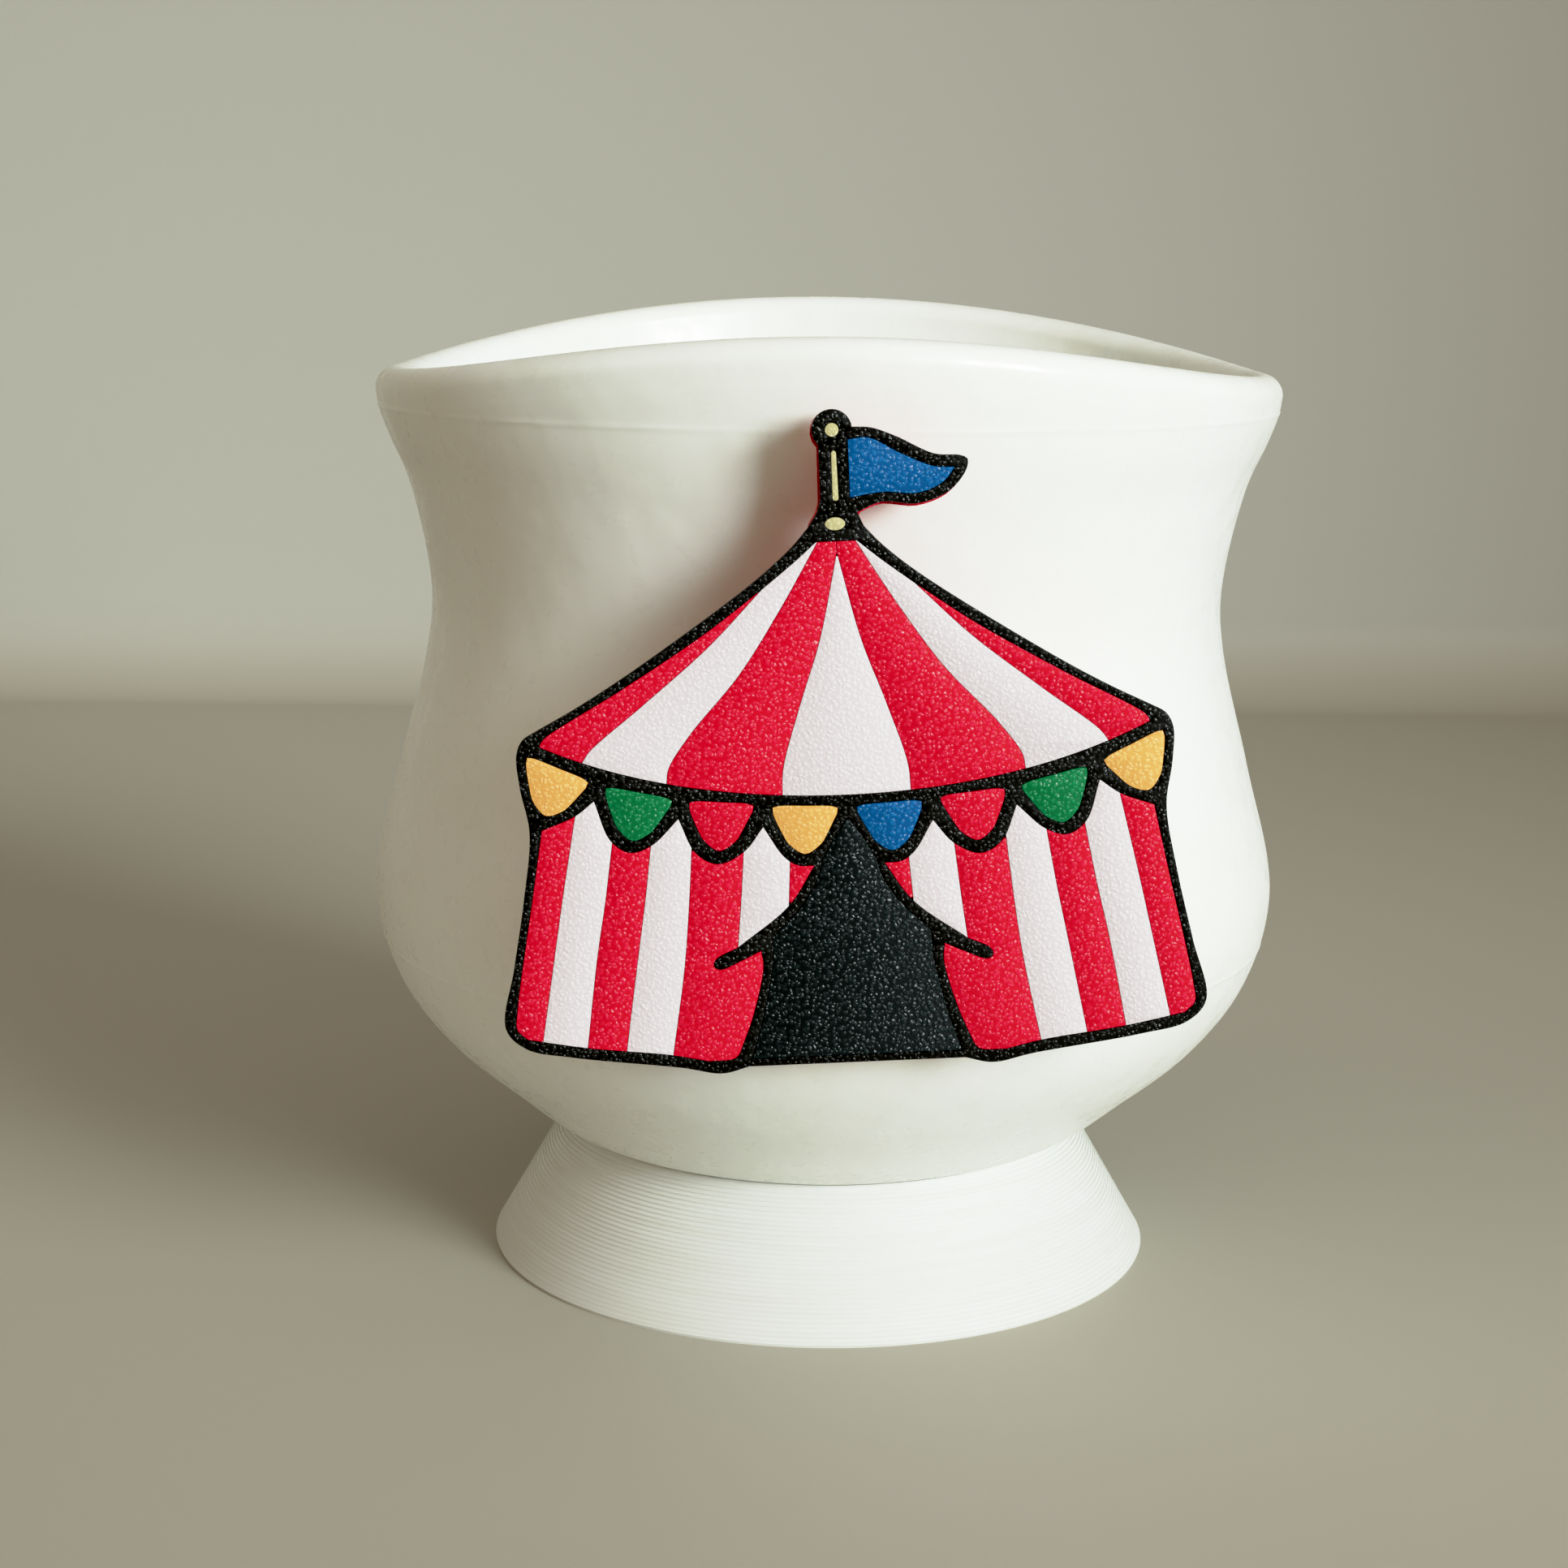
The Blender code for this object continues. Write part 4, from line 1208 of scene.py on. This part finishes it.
@dataclass
class TentPlate:
    """The printed plate: a red body of stacked layers, a black outline and flush coloured pieces."""

    shop: Workshop
    vessel: Vessel
    drawing: TentDrawing = field(default_factory=TentDrawing)
    front: float = 56.2
    thickness: float = 4.0
    face: float = 0.8
    place_x: float = 2.92
    place_z: float = 36.88
    tilt: float = math.radians(3.1)
    body_set_back: float = 0.4
    body_shift: Pair = (-0.16, -0.30)
    core_inset: float = 0.06
    core_gap: float = 0.02
    joint: float = 0.04
    edge: float = 0.05
    layer: float = 0.2
    bead_radius: float = 0.20
    bead_arc: Pair = (-31.0, 62.0)
    bead_sharp: float = 50.0
    pennant_slots: tuple[Slot, ...] = (
        Slot.YELLOW, Slot.GREEN, Slot.RED, Slot.YELLOW, Slot.BLUE, Slot.RED, Slot.GREEN, Slot.YELLOW,
    )

    def matrix(self) -> Matrix:
        """Where the drawing's plane is, in millimetres; its z is 0 at the plate's back."""
        turn = Euler((math.radians(90.0), -self.tilt, 0.0)).to_matrix().to_4x4()
        depth = self.vessel.axis_y - self.front + self.thickness
        return Matrix.Translation((self.place_x, depth, self.place_z)) @ turn

    def sheet(self, name: str, loops: list[Loop], back: float, front: float) -> Mesh:
        """A flat piece between two depths, with softened edges.

        Args:
            name: Its name.
            loops: Its outline and then its holes.
            back: Depth of its back.
            front: Depth of its front.

        Returns:
            The finished mesh.
        """
        shape = bpy.data.curves.new(name, "CURVE")
        shape.dimensions = "2D"
        shape.fill_mode = "BOTH"
        shape.extrude = (front - back) / 2 - self.edge
        shape.bevel_depth = self.edge
        shape.bevel_resolution = 1
        shape.offset = -self.edge
        for loop in loops:
            spline = shape.splines.new("POLY")
            spline.points.add(len(loop) - 1)
            for knot, point in zip(spline.points, loop):
                knot.co = (point.x, point.y, 0.0, 1.0)
            spline.use_cyclic_u = True
        lift = Matrix.Translation((0.0, 0.0, (front + back) / 2))
        return close_up(from_object(placed(name, shape)), self.matrix() @ lift)

    def side_beads(self, loop: Loop, front: float) -> Mesh:
        """The stacked beads that show on the plate's side.

        Args:
            loop: The outline that they follow.
            front: Depth of the last layer's front; the first one starts at the plate's back.

        Returns:
            The beads as a finished mesh.
        """
        path = grown(loop, -self.bead_radius)
        points = [(point.x, point.y, self.layer / 2) for point in path[::2]]
        beads = bead_tree().run(guide_mesh("body_path", points, True), {
            "Layers": round(front / self.layer),
            "Pitch": self.layer,
            "Bead Radius": self.bead_radius,
            "Shrink": 0.0,
            "Arc Start": math.radians(self.bead_arc[0]),
            "Arc Sweep": math.radians(self.bead_arc[1]),
            "Finish": self.shop.material(Slot.RED),
        })
        return close_up(beads, self.matrix(), sharp=self.bead_sharp)

    def build_body(self, silhouette: Loop) -> None:
        """Build the red body with its printed side."""
        body = self.drawing.body(silhouette, self.body_set_back, self.body_shift)
        front = self.thickness - self.face - self.core_gap
        core = self.sheet("plate_core", [grown(body, -self.core_inset)], 0.0, front)
        mesh = together("plate_body", core, self.side_beads(body, front))
        self.shop.hand_over("plate_body", mesh, Slot.RED, "backing_plate")

    def flush_pieces(self) -> dict[str, tuple[Loop, Slot, str]]:
        """Every coloured piece by its name: its loop, its slot and its CAD node."""
        drawing = self.drawing
        flag = joined(drawing.line(drawing.flag_top), drawing.line(drawing.flag_bottom))
        pieces = {
            "doorway": (drawing.doorway_loop(), Slot.SLATE, "doorway_panel"),
            "flag": (flag, Slot.BLUE, "flag_panel"),
            "finial_dot": (drawing.oval(drawing.finial_dot), Slot.STRAW, "finial_bead"),
            "mast_glint": (drawing.bar(drawing.mast_glint), Slot.STRAW, "pole_highlight"),
            "collar_dot": (drawing.oval(drawing.collar_dot), Slot.STRAW, "collar_bead"),
        }
        for number, loop in enumerate(drawing.roof_stripes(), 1):
            slot = Slot.RED if number % 2 else Slot.WHITE
            pieces[f"roof_stripe_{number}"] = (loop, slot, f"roof_panel_{number}")
        for number, loop in enumerate(drawing.wall_stripes(), 1):
            slot = Slot.RED if number % 2 else Slot.WHITE
            pieces[f"right_wall_stripe_{number}"] = (loop, slot, f"wall_right_{number}")
            pieces[f"left_wall_stripe_{number}"] = (mirrored(loop), slot, f"wall_left_{number}")
        for number, (loop, slot) in enumerate(zip(drawing.pennant_loops(), self.pennant_slots), 1):
            pieces[f"hanging_pennant_{number}"] = (loop, slot, f"pennant_{number}")
        return pieces

    def build(self) -> None:
        """Build the body, the black outline and every coloured piece."""
        drawing = self.drawing
        silhouette = drawing.silhouette()
        self.build_body(silhouette)
        back = self.thickness - self.face
        windows = [drawing.roof_window(), drawing.wall_window(), mirrored(drawing.wall_window())]
        for name, (loop, slot, node) in self.flush_pieces().items():
            if "stripe" not in name:
                windows.append(loop)
            mesh = self.sheet(name, [grown(loop, -self.joint / 2)], back, self.thickness)
            self.shop.hand_over(name, mesh, slot, node)
        holes = [grown(loop, self.joint / 2) for loop in windows]
        outline = self.sheet("outline", [silhouette, *holes], back, self.thickness)
        self.shop.hand_over("outline", outline, Slot.BLACK, "black_outline")


@dataclass
class Mounting:
    """The boss and the pad that hold the plate at the waist; both keep their CAD shape."""

    shop: Workshop

    def build(self) -> None:
        """Dress the two nodes."""
        self.shop.dress_node("mounting_boss", Slot.RED)
        self.shop.dress_node("mounting_pad", Slot.PAD)


@dataclass
class Surroundings:
    """A plain counter that turns up into a plain wall behind the object."""

    half_width: float = 1800.0
    front: float = -1500.0
    wall_y: float = 409.0
    turn_radius: float = 22.0
    wall_top: float = 900.0
    steps: int = 16

    def build(self) -> None:
        """Build the counter and the wall as one stage piece."""
        bend = arc((self.wall_y - self.turn_radius, self.turn_radius), self.turn_radius, -90, 0, self.steps)
        side = [(self.front, 0.0), *[(point.x, point.y) for point in bend], (self.wall_y, self.wall_top)]
        points = [(x * MM, y * MM, z * MM) for y, z in side for x in (-self.half_width, self.half_width)]
        faces = [(2 * k, 2 * k + 1, 2 * k + 3, 2 * k + 2) for k in range(len(side) - 1)]
        mesh = bpy.data.meshes.new("counter")
        mesh.from_pydata(points, [], faces)
        mesh.shade_smooth()
        mesh.materials.append(StageFinish().make())
        placed("counter", mesh)


@dataclass(frozen=True)
class SoftLight:
    """One soft square studio light, placed around the middle of the object."""

    name: str
    azimuth: float
    elevation: float
    distance: float
    size: float
    power: float
    colour: Colour
    aim: tuple[float, float, float] = (0.0, 0.0, 60.0)
    spread: float = 180.0
    middle: tuple[float, float, float] = (0.0, 0.0, 60.0)

    def build(self) -> None:
        """Build the light; azimuth 0 is in front of the object and 90 on its right."""
        lamp = bpy.data.lights.new(self.name, "AREA")
        lamp.size = self.size * MM
        lamp.energy, lamp.color, lamp.spread = self.power, self.colour, math.radians(self.spread)
        turn, rise = math.radians(self.azimuth), math.radians(self.elevation)
        away = Vector((math.sin(turn) * math.cos(rise), -math.cos(turn) * math.cos(rise), math.sin(rise)))
        place = Vector(self.middle) + away * self.distance
        holder = placed(self.name, lamp)
        holder.location = place * MM
        holder.rotation_euler = (Vector(self.aim) - place).to_track_quat("-Z", "Y").to_euler()


@dataclass
class Studio:
    """The soft lights and the pale surroundings."""

    sky: Colour = (0.225, 0.165, 0.09)
    sky_strength: float = 1.0
    darkest: float = 0.009
    shoulder: Points = ((0.40, 0.41), (0.75, 0.72), (1.15, 0.87), (1.7, 0.96), (2.6, 1.0))
    lights: tuple[SoftLight, ...] = (
        SoftLight("window", 42.0, 18.0, 1100.0, 430.0, 1.52, (0.90, 1.0, 0.985), (-150.0, 150.0, 60.0), 46.0),
        SoftLight("overhead", 20.0, 72.0, 1000.0, 900.0, 1.6, (0.95, 1.0, 1.0)),
        SoftLight("room", -60.0, 30.0, 1200.0, 900.0, 0.36, (1.0, 0.96, 0.88), (-60.0, 0.0, 60.0), 60.0),
    )

    def build(self) -> None:
        """Build the world and the lights, and set the soft shoulder of the picture's tones."""
        view = bpy.context.scene.view_settings
        view.view_transform = "Standard"
        view.use_curve_mapping = True
        tones = view.curve_mapping
        tones.clip_max_x, tones.use_clip = self.shoulder[-1][0], False
        tones.black_level = (self.darkest,) * 3
        tones.curves[3].points[1].location = self.shoulder[-1]
        for bright, shown in self.shoulder[:-1]:
            tones.curves[3].points.new(bright, shown)
        tones.update()
        world = bpy.data.worlds.new("pale_room")
        world.use_nodes = True
        glow = world.node_tree.nodes["Background"]
        glow.inputs["Color"].default_value = (*self.sky, 1.0)
        glow.inputs["Strength"].default_value = self.sky_strength
        bpy.context.scene.world = world
        for light in self.lights:
            light.build()


@dataclass
class PhotoCamera:
    """The camera where the photograph was taken."""

    place: tuple[float, float, float] = (-4.59, -316.15, 114.8)
    pitch: float = 10.80
    roll: float = 0.55
    lens: float = 63.60
    sensor: float = 36.0
    clip: Pair = (0.02, 20.0)

    def build(self) -> None:
        """Build the camera and make it the scene's camera."""
        down, lean = math.radians(self.pitch), math.radians(self.roll)
        across = Vector((1.0, 0.0, 0.0))
        up = Vector((0.0, math.sin(down), math.cos(down)))
        right = math.cos(lean) * across + math.sin(lean) * up
        top = -math.sin(lean) * across + math.cos(lean) * up
        turn = Matrix((right, top, right.cross(top))).transposed().to_4x4()
        data = bpy.data.cameras.new("photo_camera")
        data.lens, data.sensor_width = self.lens, self.sensor
        data.clip_start, data.clip_end = self.clip
        camera = placed("photo_camera", data)
        camera.matrix_world = Matrix.Translation(Vector(self.place) * MM) @ turn
        bpy.context.scene.camera = camera


def main() -> None:
    """Build every sub-assembly in order."""
    logging.basicConfig(level=logging.INFO, format="%(name)s: %(message)s")
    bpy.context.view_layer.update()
    shop = Workshop()
    PhotoCamera().build()
    Studio().build()
    Surroundings().build()
    vessel = Vessel(shop)
    vessel.build()
    FootRing(shop, vessel).build()
    Mounting(shop).build()
    TentPlate(shop, vessel).build()


if __name__ == "__main__":
    main()
